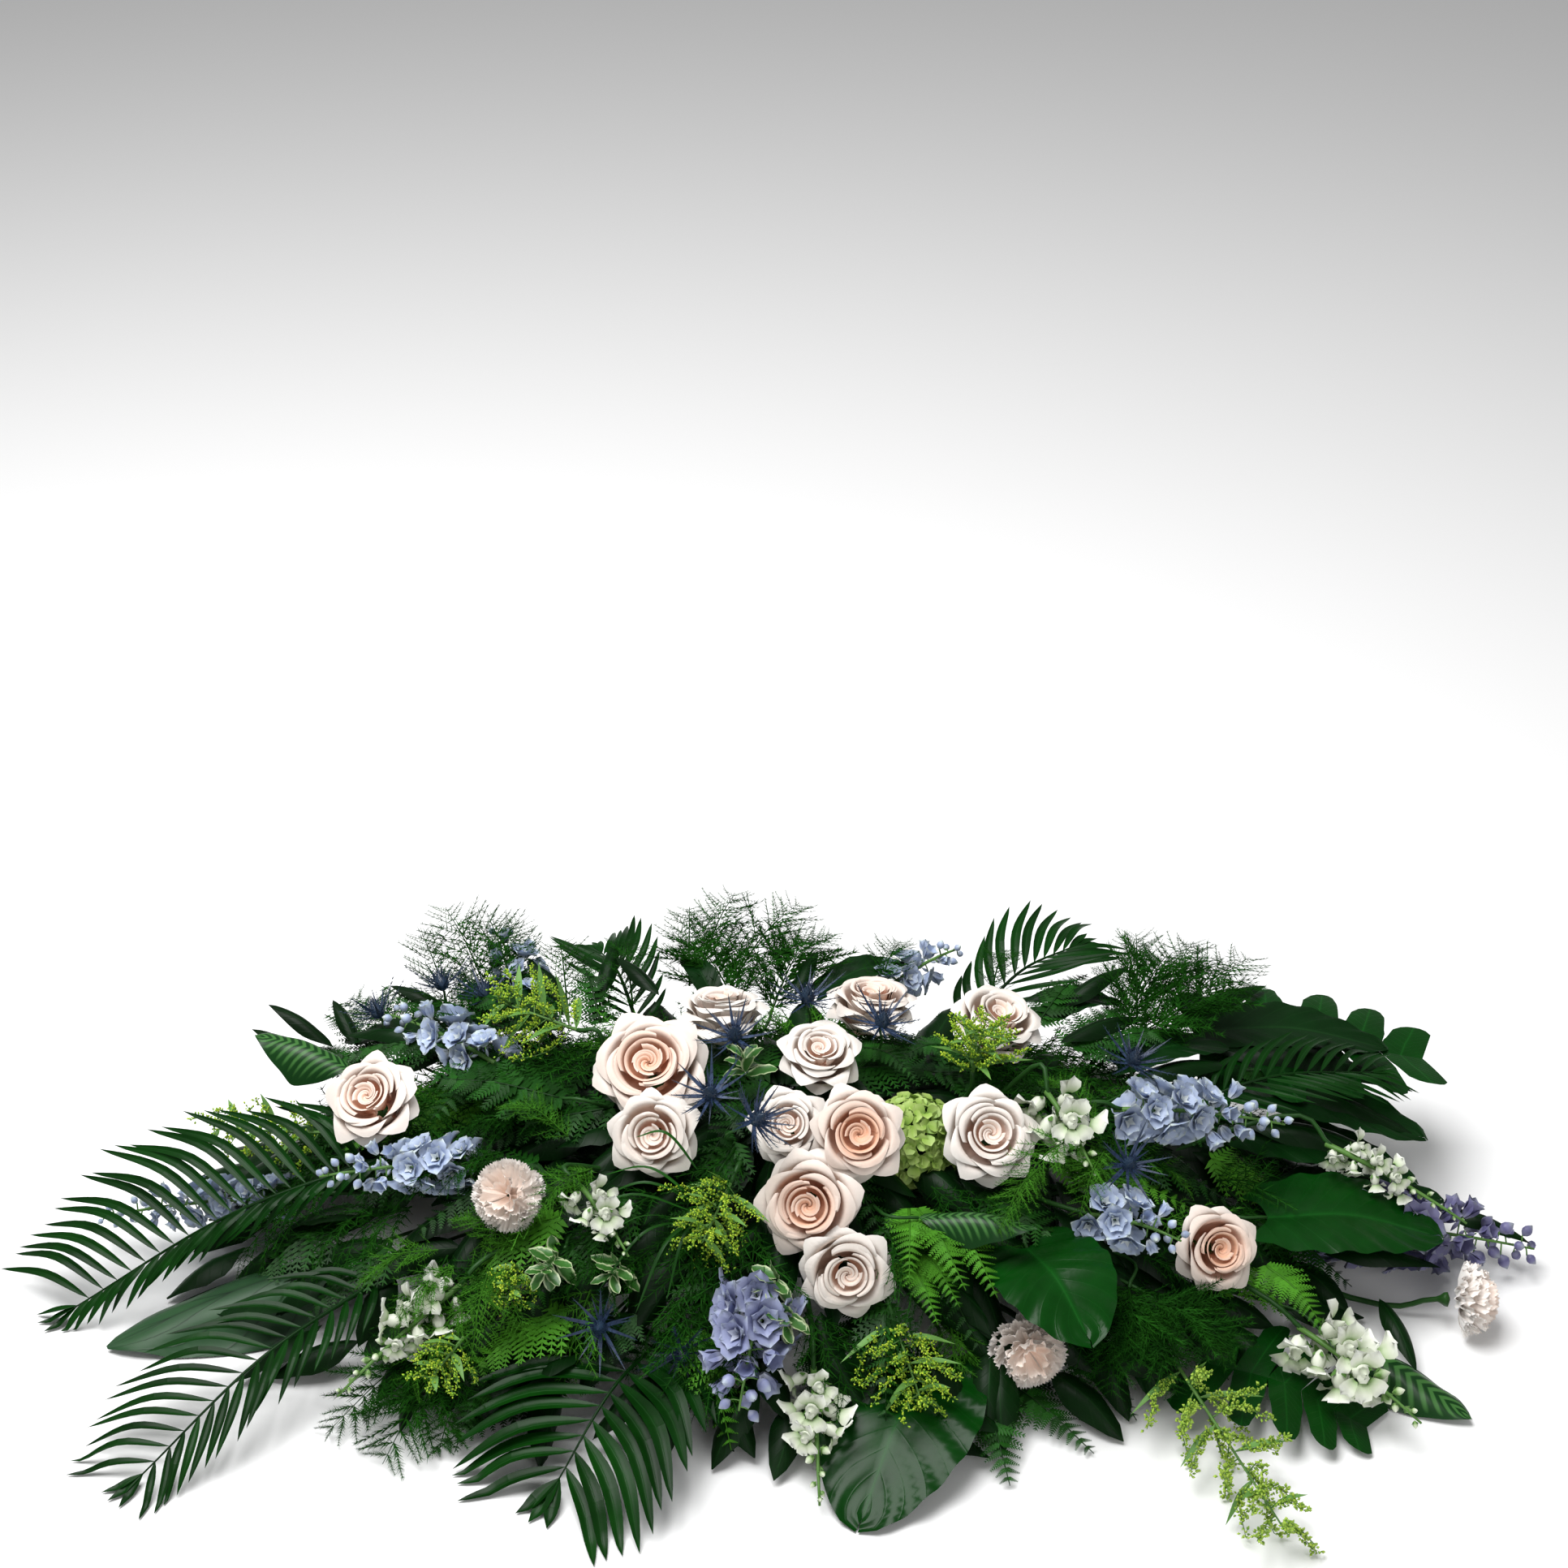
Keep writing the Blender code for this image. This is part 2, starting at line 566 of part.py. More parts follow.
def rooted(name, necks, radius):
    """The root of a node's stem and its fork outside the foam, with the cutter that makes its hole."""
    out, square = hole(name)
    middle = sum((Vector(n) for n in necks), Vector()) / len(necks)
    way = (square + LEAN * (middle - out).normalized()).normalized()
    root, fork = out - way * ROOT_DEPTH, out + way * STUB
    wide = (radius + HOLE_CLEARANCE) * 1.05
    stem_holes.append(tube([root - way * HOLE_CLEARANCE, fork], [wide, wide]))
    return root, fork


def branch(root, fork, first, neck, way_in, radius, flare=None):
    """A stem to a neck, arriving along a direction: the first runs from the root, the rest from the fork."""
    neck, way_in = Vector(neck), Vector(way_in).normalized()
    bend = neck - way_in * (neck - fork).length * BEND
    start = [root, fork] if first else [root.lerp(fork, FORK_SHARE)]
    points = [*start, bend, neck]
    radii = [radius] * len(start) + [radius * 0.9, radius * 0.8]
    if flare:
        points.append(neck + way_in * CALYX_HEIGHT)
        radii.append(flare)
    return tube(points, radii)


def rib_frame(rib):
    """Tangent, side and normal at each point of a rib, with the side kept level."""
    frames = []
    for i, point in enumerate(rib):
        ahead = rib[min(i + 1, len(rib) - 1)] - rib[max(i - 1, 0)]
        tangent = ahead.normalized()
        side = tangent.cross(Vector((0, 0, 1))).normalized()
        frames.append((point, tangent, side, side.cross(tangent)))
    return frames


def bent_sheet(rib, droop, roll=0.0):
    """Maps a flat blade onto its rib: shares along it and distances across it become points. The blade is
    bent along the rib, down to the sides and rolled about the rib."""
    frames = rib_frame(rib)
    lengths = [0.0]
    for a, b in zip(rib, rib[1:]):
        lengths.append(lengths[-1] + (b - a).length)
    total = lengths[-1]

    def bent(along, across, height=0.0):
        along *= total
        step = max(0, min(len(rib) - 2, sum(1 for v in lengths[1:] if v <= along)))
        part = (along - lengths[step]) / (lengths[step + 1] - lengths[step])
        a, b = frames[step], frames[step + 1]
        share = max(0.0, min(1.0, part))
        side = (a[2].lerp(b[2], share)).normalized()
        normal = (a[3].lerp(b[3], share)).normalized()
        if roll:
            turn = Matrix.Rotation(roll, 3, a[1])
            side, normal = turn @ side, turn @ normal
        point = a[0].lerp(b[0], part) + side * across - normal * droop * across * across + normal * height
        point.z = max(point.z, LOWEST_LEAF + min(height, 0))
        return point

    return bent


def leaf(rib, lobes, droop, other=1.0, roll=0.0):
    """A thin arched blade cut to its rib. Lobes are flat outlines (along, across) from the rib outwards,
    mirrored to the left at a share of their reach, and the whole is bent along the rib, down to the sides and
    rolled about the rib."""
    bent = bent_sheet(rib, droop, roll)
    shape = bmesh.new()
    made = {}

    def vertex(along, across):
        key = (round(along, 5), round(across, 5))
        if key not in made:
            made[key] = shape.verts.new((along, across, 0))
        return made[key]

    stations = sorted({s for start, end, _ in lobes for s in (start, end)})
    for a, b in zip(stations, stations[1:]):
        strip = [(a, -RIB_HALF_WIDTH), (b, -RIB_HALF_WIDTH), (b, RIB_HALF_WIDTH), (a, RIB_HALF_WIDTH)]
        shape.faces.new([vertex(*p) for p in strip])
    for start, end, outline in lobes:
        right = [(start, RIB_HALF_WIDTH), (end, RIB_HALF_WIDTH), *reversed(outline)]
        shape.faces.new([vertex(*p) for p in right])
        mirrored = [(start + (along - start) * other, -across * other) for along, across in outline]
        left = [(end, -RIB_HALF_WIDTH), (start, -RIB_HALF_WIDTH), *mirrored]
        shape.faces.new([vertex(*p) for p in left])
    bmesh.ops.triangulate(shape, faces=shape.faces, ngon_method="EAR_CLIP")
    for v in shape.verts:
        v.co = bent(v.co.x, v.co.y)
    mesh = bpy.data.meshes.new("blade")
    shape.to_mesh(mesh)
    shape.free()
    blade = link(mesh, "blade", bpy.context.scene.collection)
    thicken = blade.modifiers.new("thickness", "SOLIDIFY")
    thicken.thickness, thicken.offset = BLADE_THICKNESS, 0
    return evaluated_mesh(blade)


def loft_blade(rib, rows, droop, start=0.0, end=1.0):
    """A thin blade as one closed loft. A row is a share of the rib, half the blade's width there and how far
    ahead its edges stand. Its section is a flat lozenge, and each face is split from the wider row's rib."""
    bent = bent_sheet(rib, droop)
    shape = bmesh.new()
    loops = []
    for along, width, ahead in rows:
        flat = ((along + ahead, -width, 0), (along, 0, BLADE_HALF_HEIGHT), (along + ahead, width, 0))
        loops.append([shape.verts.new(bent(*p)) for p in (*flat, (along, 0, -BLADE_HALF_HEIGHT))])
    foot, point = shape.verts.new(bent(start, 0)), shape.verts.new(bent(end, 0))
    for i in range(4):
        j = (i + 1) % 4
        shape.faces.new((foot, loops[0][j], loops[0][i]))
        shape.faces.new((point, loops[-1][i], loops[-1][j]))
        for (low, high), (row, above) in zip(zip(loops, loops[1:]), zip(rows, rows[1:])):
            if (row[1] > above[1]) == (i % 2 == 1):
                shape.faces.new((low[i], low[j], high[j]))
                shape.faces.new((low[i], high[j], high[i]))
            else:
                shape.faces.new((low[i], low[j], high[i]))
                shape.faces.new((low[j], high[j], high[i]))
    bmesh.ops.recalc_face_normals(shape, faces=shape.faces)
    mesh = bpy.data.meshes.new("blade")
    shape.to_mesh(mesh)
    shape.free()
    return mesh


def narrow_leaflets(pairs, longest, length, angle, closing, belly=True):
    """Lobes for a feathered frond: long narrow leaflets that lean towards the tip, more so near it."""
    lobes = []
    for i in range(pairs):
        start, end = i / pairs, (i + 1) / pairs
        share = (i + 0.5) / pairs
        reach = longest * (1 - (0.7 * (0.4 - share) if share < 0.4 else 1.1 * (share - 0.4) ** 2 / 0.6))
        lean = math.radians(angle * (1 - closing * share))
        tip = (start + reach * math.cos(lean) / length, reach * math.sin(lean))
        side = (start + 0.45 * (tip[0] - start) - 0.10 / pairs, 0.45 * tip[1])
        lobes.append((start, end, [side, tip] if belly else [tip]))
    return lobes


def feather_rows(pairs, length, reach_at, angle, closing=0.0, start=0.0):
    """Rows of a feathered blade: a narrow one at each valley, and a wide one at each pair's tips."""
    rows = []
    for i in range(pairs):
        share = (i + 0.5) / pairs
        lean = math.radians(angle * (1 - closing * share))
        reach = reach_at(share)
        rows.append((start + (1 - start) * i / pairs, RIB_HALF_WIDTH, 0.0))
        rows.append((start + (1 - start) * share, reach * math.sin(lean), reach * math.cos(lean) / length))
    return rows


def fern_reach(longest):
    return lambda share: longest * (1 - 0.85 * share)


def plume_reach(longest):
    return lambda share: longest * (1 - (0.7 * (0.4 - share) if share < 0.4 else 1.1 * (share - 0.4) ** 2 / 0.6))


def monstera_lobes(half_width):
    """Lobes of a broad heart-shaped leaf that is cut halfway in from its edge."""
    pairs = 4
    widths = (0.90, 1.0, 0.84, 0.48)
    inner = (0.30, 0.42, 0.42, 0.30, 0.08)
    lobes = []
    for i in range(pairs):
        start, end = i / pairs, (i + 1) / pairs
        reach = widths[i] * half_width
        back = -0.10 if i == 0 else 0.10
        outline = [
            (start + 0.02, inner[i] * half_width),
            (start + back + 0.02, 0.86 * reach),
            (start + 0.26, reach),
            (end + 0.02, inner[i + 1] * half_width),
        ]
        lobes.append((start, end, outline))
    return lobes


def heart_rows(half_width):
    """Rows of an uncut leaf with a heart-shaped foot and a drip tip."""
    widths = ((0.06, 0.66, -0.14), (0.24, 1.0, -0.06), (0.46, 0.90, 0.0), (0.70, 0.56, 0.0), (0.88, 0.16, 0.0))
    return [(along, half_width * width, ahead) for along, width, ahead in widths]


def plain_rows(half_width):
    """Rows of a long uncut leaf."""
    widths = ((0.08, 0.45), (0.26, 0.92), (0.48, 1.0), (0.70, 0.76), (0.88, 0.36))
    return [(along, half_width * width, 0.0) for along, width in widths]


def arched(neck, tip, lift, steps=4):
    """A rib from a neck to a tip that bows upwards."""
    neck, tip = Vector(neck), Vector(tip)
    middle = (neck + tip) / 2 + Vector((0, 0, lift))
    return curve_through([neck, middle, tip], steps // 2)


def stalked(root, fork, first, rib, radius, blade):
    """A blade, and the stalk that runs into the foot of its rib."""
    way = (rib[1] - rib[0]).normalized()
    return [branch(root, fork, first, rib[0] + way * STALK_LAP, way, radius), blade]


def whorled_spike(neck, tip, bow, whorl, long, short, lift):
    """A flower spike as one loft: whorl after whorl of florets, each standing out from the stem between them
    and turned against the whorl below, shrinking to buds at the tip."""
    neck, tip = Vector(neck), Vector(tip)
    pitch, florets, bare = whorl
    axis = (tip - neck).normalized()
    turn = placed((0, 0, 0), axis).to_3x3()
    whorls = max(4, round((tip - neck).length / pitch))
    draw = random.Random(round(1000 * tip.x + 5000 * abs(tip.y)))
    rings = []
    for k in range(whorls):
        share = k / whorls
        size = 1.0 if share < 0.55 else 1.0 - 0.75 * (share - 0.55) / 0.45
        middle = neck.lerp(tip, share) + Vector((0, 0, 4 * bow * share * (1 - share)))
        above = neck.lerp(tip, share + 0.5 / whorls) + Vector((0, 0, 4 * bow * share * (1 - share)))
        star, waist = [], []
        for i in range(2 * florets):
            angle = math.pi * i / florets + 0.3 * k
            flat = Vector((math.cos(angle), math.sin(angle), 0))
            out = (i + k) % 2 == 0
            reach = (long if out else short) * size * (1 + 0.16 * draw.uniform(-1, 1))
            star.append(middle + turn @ (flat * reach + Vector((0, 0, lift * size if out else 0))))
            waist.append(above + turn @ (flat * bare))
        rings += [star, waist]
    return ring_solid(neck - axis * 0.006, rings, tip, Matrix.Identity(4))


def delphinium(neck, tip, reach):
    return [whorled_spike(neck, tip, 0.005, DELPHINIUM_WHORL, reach, reach * 0.42, reach * 0.3)]


def snapdragon(neck, tip, reach):
    return [whorled_spike(neck, tip, 0.004, SNAPDRAGON_WHORL, reach, reach * 0.30, reach * 0.5)]


def goldenrod(neck, tip, reach):
    """Curving arms set with florets: each arm is a string of beads."""
    neck, tip = Vector(neck), Vector(tip)
    axis = (tip - neck).normalized()
    side = axis.orthogonal().normalized()
    parts = [tube([neck - axis * 0.004, neck.lerp(tip, 0.5), tip], [0.0018, 0.0014, 0.0008])]
    for i in range(GOLDENROD_ARMS):
        share = (i + 0.4) / GOLDENROD_ARMS
        out = Matrix.Rotation(i * GOLDEN_ANGLE, 3, axis) @ side
        length = reach * (1 - 0.45 * share)
        beads = [circle(reach * wide, length * high, GOLDENROD_SIDES, turn) for wide, high, turn in GOLDENROD_BEADS]
        matrix = placed(neck.lerp(tip, share), out + axis * 0.9)
        parts.append(ring_solid((0, 0, 0), beads, (0, 0, length), matrix))
    return parts


def thistle_head(at, facing):
    """A cone that rises out of a ruff of narrow spined bracts."""
    ruff = []
    for i in range(2 * THISTLE_BRACTS):
        angle = math.pi * i / THISTLE_BRACTS
        is_bract = i % 2 == 0
        reach = THISTLE_REACH * (1.0 if i % 4 == 0 else 0.80) if is_bract else 0.0072
        ruff.append((reach * math.cos(angle), reach * math.sin(angle), 0.010 if is_bract else 0.0))
    shoulder = circle(0.0062, 0.008, 2 * THISTLE_BRACTS)
    matrix = placed(Vector(at) - Vector(facing).normalized() * THISTLE_SETBACK, facing)
    return [ring_solid((0, 0, -0.004), [ruff, shoulder], (0, 0, 0.022), matrix)]


def rosette(neck, tip):
    """Small oval leaves set round a twig's end."""
    axis = (Vector(tip) - Vector(neck)).normalized()
    side = axis.orthogonal().normalized()
    parts = []
    for i in range(PITTOSPORUM_LEAVES):
        share = i / PITTOSPORUM_LEAVES
        out = Matrix.Rotation(i * GOLDEN_ANGLE, 3, axis) @ side
        way = (out + axis * (0.25 + 0.6 * share)).normalized()
        at = Vector(neck).lerp(Vector(tip), 0.35 + 0.6 * share)
        flat = Matrix.Diagonal((1.0, 0.28, 1.0, 1.0))
        matrix = placed(at, way) @ flat
        ring = circle(PITTOSPORUM_REACH * 0.30, PITTOSPORUM_REACH * 0.58, 4)
        parts.append(ring_solid((0, 0, 0), [ring], (0, 0, PITTOSPORUM_REACH), matrix))
    return parts


def slab(size, middle, corner=0.0):
    """A box, whose upright edges may be rounded."""
    shape = bmesh.new()
    bmesh.ops.create_cube(shape, size=1)
    bmesh.ops.scale(shape, vec=size, verts=shape.verts)
    bmesh.ops.translate(shape, vec=middle, verts=shape.verts)
    if corner:
        upright = [e for e in shape.edges if abs((e.verts[0].co - e.verts[1].co).normalized().z) > 0.9]
        bmesh.ops.bevel(shape, geom=upright, offset=corner, segments=2, affect="EDGES", profile=0.5)
    mesh = bpy.data.meshes.new("slab")
    shape.to_mesh(mesh)
    shape.free()
    return mesh


def cut(target, meshes, name, cutters):
    """Takes cutters out of a node. They stay in a collection of their own, as wires."""
    tools = bpy.data.collections.new(name)
    cutters.children.link(tools)
    for mesh in meshes:
        tool = link(mesh, name, tools)
        tool.hide_render = True
        tool.display_type = "WIRE"
    take = target.modifiers.new("cut", "BOOLEAN")
    take.operation = "DIFFERENCE"
    take.operand_type = "COLLECTION"
    take.collection = tools
    take.solver = "MANIFOLD"


def build_blooms():
    for kind, slot, rings, petals, share in (
        (ROSES, "rose_petal", ROSE_RINGS, ROSE_PETALS, ROSE_DEPTH),
        (CARNATIONS, "carnation_petal", CARNATION_RINGS, CARNATION_PETALS, CARNATION_DEPTH),
    ):
        for name, blooms in kind.items():
            heads = [
                whorled_bloom(rings, petals, at, facing, width, width * share)
                for at, facing, width in blooms
            ]
            grown[name] = (slot, heads, None)


def build_hydrangea():
    at, facing, width = HYDRANGEA
    facing = Vector(facing).normalized()
    centre = Vector(at) - facing * width * HYDRANGEA_SETBACK
    radius = width / 2 * HYDRANGEA_CORE
    foot = (0, 0, -radius * HYDRANGEA_FOOT)
    rings = [
        circle(radius * 0.55, -radius * 0.30, 8),
        circle(radius * 0.98, radius * 0.10, 8),
        circle(radius * 0.72, radius * 0.75, 8),
    ]
    stand = placed(centre, facing)
    parts = [ring_solid(foot, rings, (0, 0, radius * 1.02), stand)]
    for i in range(HYDRANGEA_FLORETS):
        height = 0.98 - 1.05 * (i + 0.5) / HYDRANGEA_FLORETS
        angle = i * GOLDEN_ANGLE
        flat = math.sqrt(max(0.0, 1 - height * height))
        way = stand.to_3x3() @ Vector((flat * math.cos(angle), flat * math.sin(angle), height))
        sunk = radius * 0.75
        parts.append(star_trumpet(centre + way * sunk, way, HYDRANGEA_FLORET, width / 2 - sunk, 4, i * 1.1))
    grown["hydrangea"] = ("hydrangea_petal", parts, None)


def bloom_base(name, place):
    """Where a bloom's calyx sits, the way it faces and how wide the calyx is."""
    if name == "hydrangea":
        at, facing, width = HYDRANGEA
        facing = Vector(facing).normalized()
        foot = width * HYDRANGEA_SETBACK + width / 2 * HYDRANGEA_CORE * HYDRANGEA_FOOT
        return Vector(at) - facing * foot, facing, HYDRANGEA_CALYX
    is_rose = name in ROSES
    at, facing, width = (ROSES if is_rose else CARNATIONS)[name][place]
    facing = Vector(facing).normalized()
    share = ROSE_DEPTH if is_rose else CARNATION_DEPTH
    return Vector(at) - facing * width * share, facing, ROSE_CALYX if is_rose else CARNATION_CALYX


def build_stems():
    for bunch, blooms in STEM_BUNCHES.items():
        bases = [bloom_base(*bloom) for bloom in blooms]
        root, fork = rooted(bunch, [base for base, _, _ in bases], BLOOM_STEM)
        parts = []
        for i, (base, facing, flare) in enumerate(bases):
            neck = base - facing * (CALYX_HEIGHT + SEAT_GAP)
            parts.append(branch(root, fork, i == 0, neck, facing, BLOOM_STEM, flare))
        grown[bunch] = ("stem_green", parts, root.lerp(fork, FORK_SHARE))


def build_spikes():
    for kind, slot, grow, radius in (
        (DELPHINIUMS, "delphinium_petal", delphinium, SPIKE_STEM),
        (SNAPDRAGONS, "snapdragon_petal", snapdragon, SPIKE_STEM),
        (GOLDENRODS, "goldenrod_floret", goldenrod, SPRAY_STEM),
    ):
        for name, spikes in kind.items():
            root, fork = rooted(name, [spike[0] for spike in spikes], radius)
            parts = []
            for i, (neck, tip, reach) in enumerate(spikes):
                way = Vector(tip) - Vector(neck)
                parts.append(branch(root, fork, i == 0, neck, way, radius))
                parts += grow(neck, tip, reach)
            grown[name] = (slot, parts, None)


def build_thistles():
    for name, heads in THISTLES.items():
        necks = [Vector(at) - Vector(way).normalized() * THISTLE_SETBACK for at, way in heads]
        root, fork = rooted(name, necks, THISTLE_STEM)
        parts = []
        for i, ((at, way), neck) in enumerate(zip(heads, necks)):
            parts += thistle_head(at, way)
            parts.append(branch(root, fork, i == 0, neck, way, THISTLE_STEM))
        grown[name] = ("thistle_bract", parts, None)


def palm_blade(neck, tip, pairs, longest, other, roll, closing):
    rib = arched(neck, tip, 0.018, 6)
    length = sum((b - a).length for a, b in zip(rib, rib[1:]))
    return rib, leaf(rib, narrow_leaflets(pairs, longest, length, 52, closing), 1.0, other, roll)


def monstera_blade(neck, tip, half_width, is_cut):
    rib = arched(neck, tip, 0.010, 4)
    return rib, leaf(rib, monstera_lobes(half_width), 2.0) if is_cut else loft_blade(rib, heart_rows(half_width), 2.0)


def broad_blade(neck, tip, half_width):
    rib = arched(neck, tip, 0.008, 4)
    return rib, loft_blade(rib, plain_rows(half_width), 2.5)


def fern_blade(neck, tip, pairs, longest):
    rib = arched(neck, tip, 0.006, 4)
    return rib, loft_blade(rib, feather_rows(pairs, (rib[-1] - rib[0]).length, fern_reach(longest), 62), 2.0, -0.03)


def asparagus_blade(neck, tip, pairs, longest):
    rib = arched(neck, tip, 0.008, 4)
    rows = feather_rows(pairs, (rib[-1] - rib[0]).length, plume_reach(longest), 46, 0.35)
    return rib, loft_blade(rib, rows, 1.0, -0.03)


def build_foliage():
    for kind, slot, grow, radius in (
        (PALMS, "palm_leaf", palm_blade, 0.0024),
        (MONSTERAS, "monstera_leaf", monstera_blade, 0.0024),
        (BROAD_LEAVES, "broad_leaf", broad_blade, 0.0022),
        (FERNS, "fern_leaf", fern_blade, 0.0018),
        (ASPARAGUS, "asparagus_leaf", asparagus_blade, 0.0018),
    ):
        for name, leaves in kind.items():
            root, fork = rooted(name, [each[0] for each in leaves], radius)
            parts = []
            for i, each in enumerate(leaves):
                rib, blade = grow(*each)
                parts += stalked(root, fork, i == 0, rib, radius, blade)
            grown[name] = (slot, parts, root.lerp(fork, FORK_SHARE))
    for name, twigs in PITTOSPORUMS.items():
        root, fork = rooted(name, [neck for neck, _ in twigs], SPRAY_STEM)
        parts = []
        for i, (neck, tip) in enumerate(twigs):
            parts.append(branch(root, fork, i == 0, tip, Vector(tip) - Vector(neck), SPRAY_STEM))
            parts += rosette(neck, tip)
        grown[name] = ("pittosporum_leaf", parts, None)


def filling_blade(kind, start, tip):
    """A leaf or a fern on its own stalk, in one loft from a fork to a tip."""
    span = tip - start
    middle = start + span * 0.5 + Vector((0, 0, FILL_RISE * span.length))
    rib = curve_through([start, middle, tip], 3)
    length = sum((b - a).length for a, b in zip(rib, rib[1:]))
    stalk = [(0.03, RIB_HALF_WIDTH, 0.0)]
    if kind == "leaf":
        width = FILL_LEAF_WIDTH * length
        blade = [(FILL_STALK, RIB_HALF_WIDTH, 0.0), (0.60, width, 0.0), (0.82, 0.70 * width, 0.0)]
    else:
        reach = fern_reach(FILL_FERN_WIDTH * length)
        blade = feather_rows(FILL_FERN_PAIRS, length, reach, 60, 0.0, FILL_STALK)
    return loft_blade(rib, stalk + blade, 2.0)


def build_filling():
    for host, blades in FILLING.items():
        _, parts, fork = grown[host]
        parts += [filling_blade(kind, fork, Vector(tip)) for kind, tip in blades]


def holder_meshes():
    """The block of foam, the tray's bowl and the hollow that is cut from it."""
    outer = (FOAM_LENGTH + 2 * TRAY_MARGIN, FOAM_WIDTH + 2 * TRAY_MARGIN, TRAY_RIM)
    inner = (outer[0] - 2 * TRAY_WALL, outer[1] - 2 * TRAY_WALL, TRAY_RIM)
    bowl = slab(outer, (0, 0, TRAY_RIM / 2), TRAY_CORNER)
    hollow = slab(inner, (0, 0, TRAY_FLOOR + TRAY_RIM / 2), TRAY_CORNER - TRAY_WALL)
    block = slab((FOAM_LENGTH, FOAM_WIDTH, FOAM_HEIGHT), (0, 0, FOAM_BASE + FOAM_HEIGHT / 2))
    return block, bowl, hollow


def main():
    for thing in list(bpy.data.objects):
        bpy.data.objects.remove(thing)
    spray = bpy.data.collections.new("casket_spray")
    cutters = bpy.data.collections.new("cutters")
    for made in (spray, cutters):
        bpy.context.scene.collection.children.link(made)
    build_blooms()
    build_hydrangea()
    build_stems()
    build_spikes()
    build_thistles()
    build_foliage()
    block, bowl, hollow = holder_meshes()
    build_filling()
    for name, (slot, parts, _) in grown.items():
        fuse(name, parts, slot, spray)
    cut(fuse("foam", [block], "foam", spray), stem_holes, "stem_holes", cutters)
    cut(fuse("tray", [bowl], "tray_plastic", spray), [hollow], "tray_hollow", cutters)


main()
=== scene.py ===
"""The looks of a casket spray: petals, florets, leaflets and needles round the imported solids."""

import math

import bpy
import numpy as np
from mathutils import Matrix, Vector


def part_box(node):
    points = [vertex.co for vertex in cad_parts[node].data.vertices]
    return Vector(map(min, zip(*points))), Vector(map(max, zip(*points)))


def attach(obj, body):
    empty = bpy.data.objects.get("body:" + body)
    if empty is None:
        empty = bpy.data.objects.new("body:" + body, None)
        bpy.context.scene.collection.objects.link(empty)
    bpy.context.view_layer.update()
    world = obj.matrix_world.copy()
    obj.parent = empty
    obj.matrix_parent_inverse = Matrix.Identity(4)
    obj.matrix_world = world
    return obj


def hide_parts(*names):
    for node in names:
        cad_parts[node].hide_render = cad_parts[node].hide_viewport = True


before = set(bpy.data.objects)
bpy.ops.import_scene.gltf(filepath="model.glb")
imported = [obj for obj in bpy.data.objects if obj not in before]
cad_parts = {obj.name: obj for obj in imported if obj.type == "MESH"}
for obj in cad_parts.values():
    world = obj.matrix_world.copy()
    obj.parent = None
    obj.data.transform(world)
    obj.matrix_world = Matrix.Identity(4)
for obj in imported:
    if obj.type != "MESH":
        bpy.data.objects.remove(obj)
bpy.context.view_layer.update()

UP = np.array((0.0, 0.0, 1.0))
GOLDEN_ANGLE = math.radians(137.5)

# The foam that the stems stand in, and how they leave it
FOAM_LENGTH, FOAM_WIDTH = 0.460, 0.106
FOAM_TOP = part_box("foam")[1].z
ROOT_DEPTH, STUB, LEAN, BEND = 0.026, 0.012, 0.7, 0.22
BLOOM_STEM, SPIKE_STEM, SPRAY_STEM, THISTLE_STEM = 0.0030, 0.0026, 0.0018, 0.0014
CALYX_HEIGHT = 0.009
LOWEST_LEAF, LOWEST_ARM, LOWEST_BEAD, LOWEST_TIP, LOWEST_MOUND = 0.0020, 0.0045, 0.0042, 0.005, 0.006

# Blooms: depths and setbacks as shares of the width, and the radius of the cup under a bloom
ROSE_DEPTH, CARNATION_DEPTH, HYDRANGEA_DEPTH = 0.56, 0.62, 0.5775
ROSE_CUP, CARNATION_CUP, HYDRANGEA_CUP = 0.0085, 0.0065, 0.003
ROSE_HEART = 5  # rolled petals in the pinwheel
PALE_HEART, PAINTED_FOOT_SHADE = 0.35, 0.75  # how peach a pale rose's heart is, and the warm shade painted at the foot of every petal
# ring of petals: count, section (shares of radius and depth), half turn, how far its tip stands out and how sharply,
# how far its sides roll down, share of the rose's warmth
ROSE_RINGS = (
    (3, [(0.16, -0.60), (0.31, -0.24), (0.35, -0.07), (0.41, -0.03)], 1.45, 0.12, 2.5, 0.03, 0.85),
    (4, [(0.18, -0.75), (0.38, -0.34), (0.45, -0.06), (0.55, -0.03)], 1.15, 0.18, 2.0, 0.05, 0.72),
    (4, [(0.18, -0.85), (0.46, -0.44), (0.56, -0.10), (0.72, -0.08)], 1.02, 0.26, 1.5, 0.07, 0.54),
    (5, [(0.16, -0.92), (0.54, -0.58), (0.68, -0.16), (0.91, -0.20)], 0.90, 0.38, 1.2, 0.09, 0.38),
    (5, [(0.14, -0.98), (0.58, -0.70), (0.80, -0.28), (1.13, -0.38)], 0.86, 0.50, 1.0, 0.12, 0.26),
    (5, [(0.12, -1.00), (0.56, -0.84), (0.80, -0.50), (1.03, -0.64)], 0.86, 0.40, 1.0, 0.12, 0.16),
)
CARNATION_FANS, HYDRANGEA_FLORETS, THISTLE_SPIKES = 44, 92, 70

# Sprays and fronds
FULL_PLUME = 0.058  # a goldenrod with a longer reach has thick plumes
THISTLE_SETBACK = 0.010
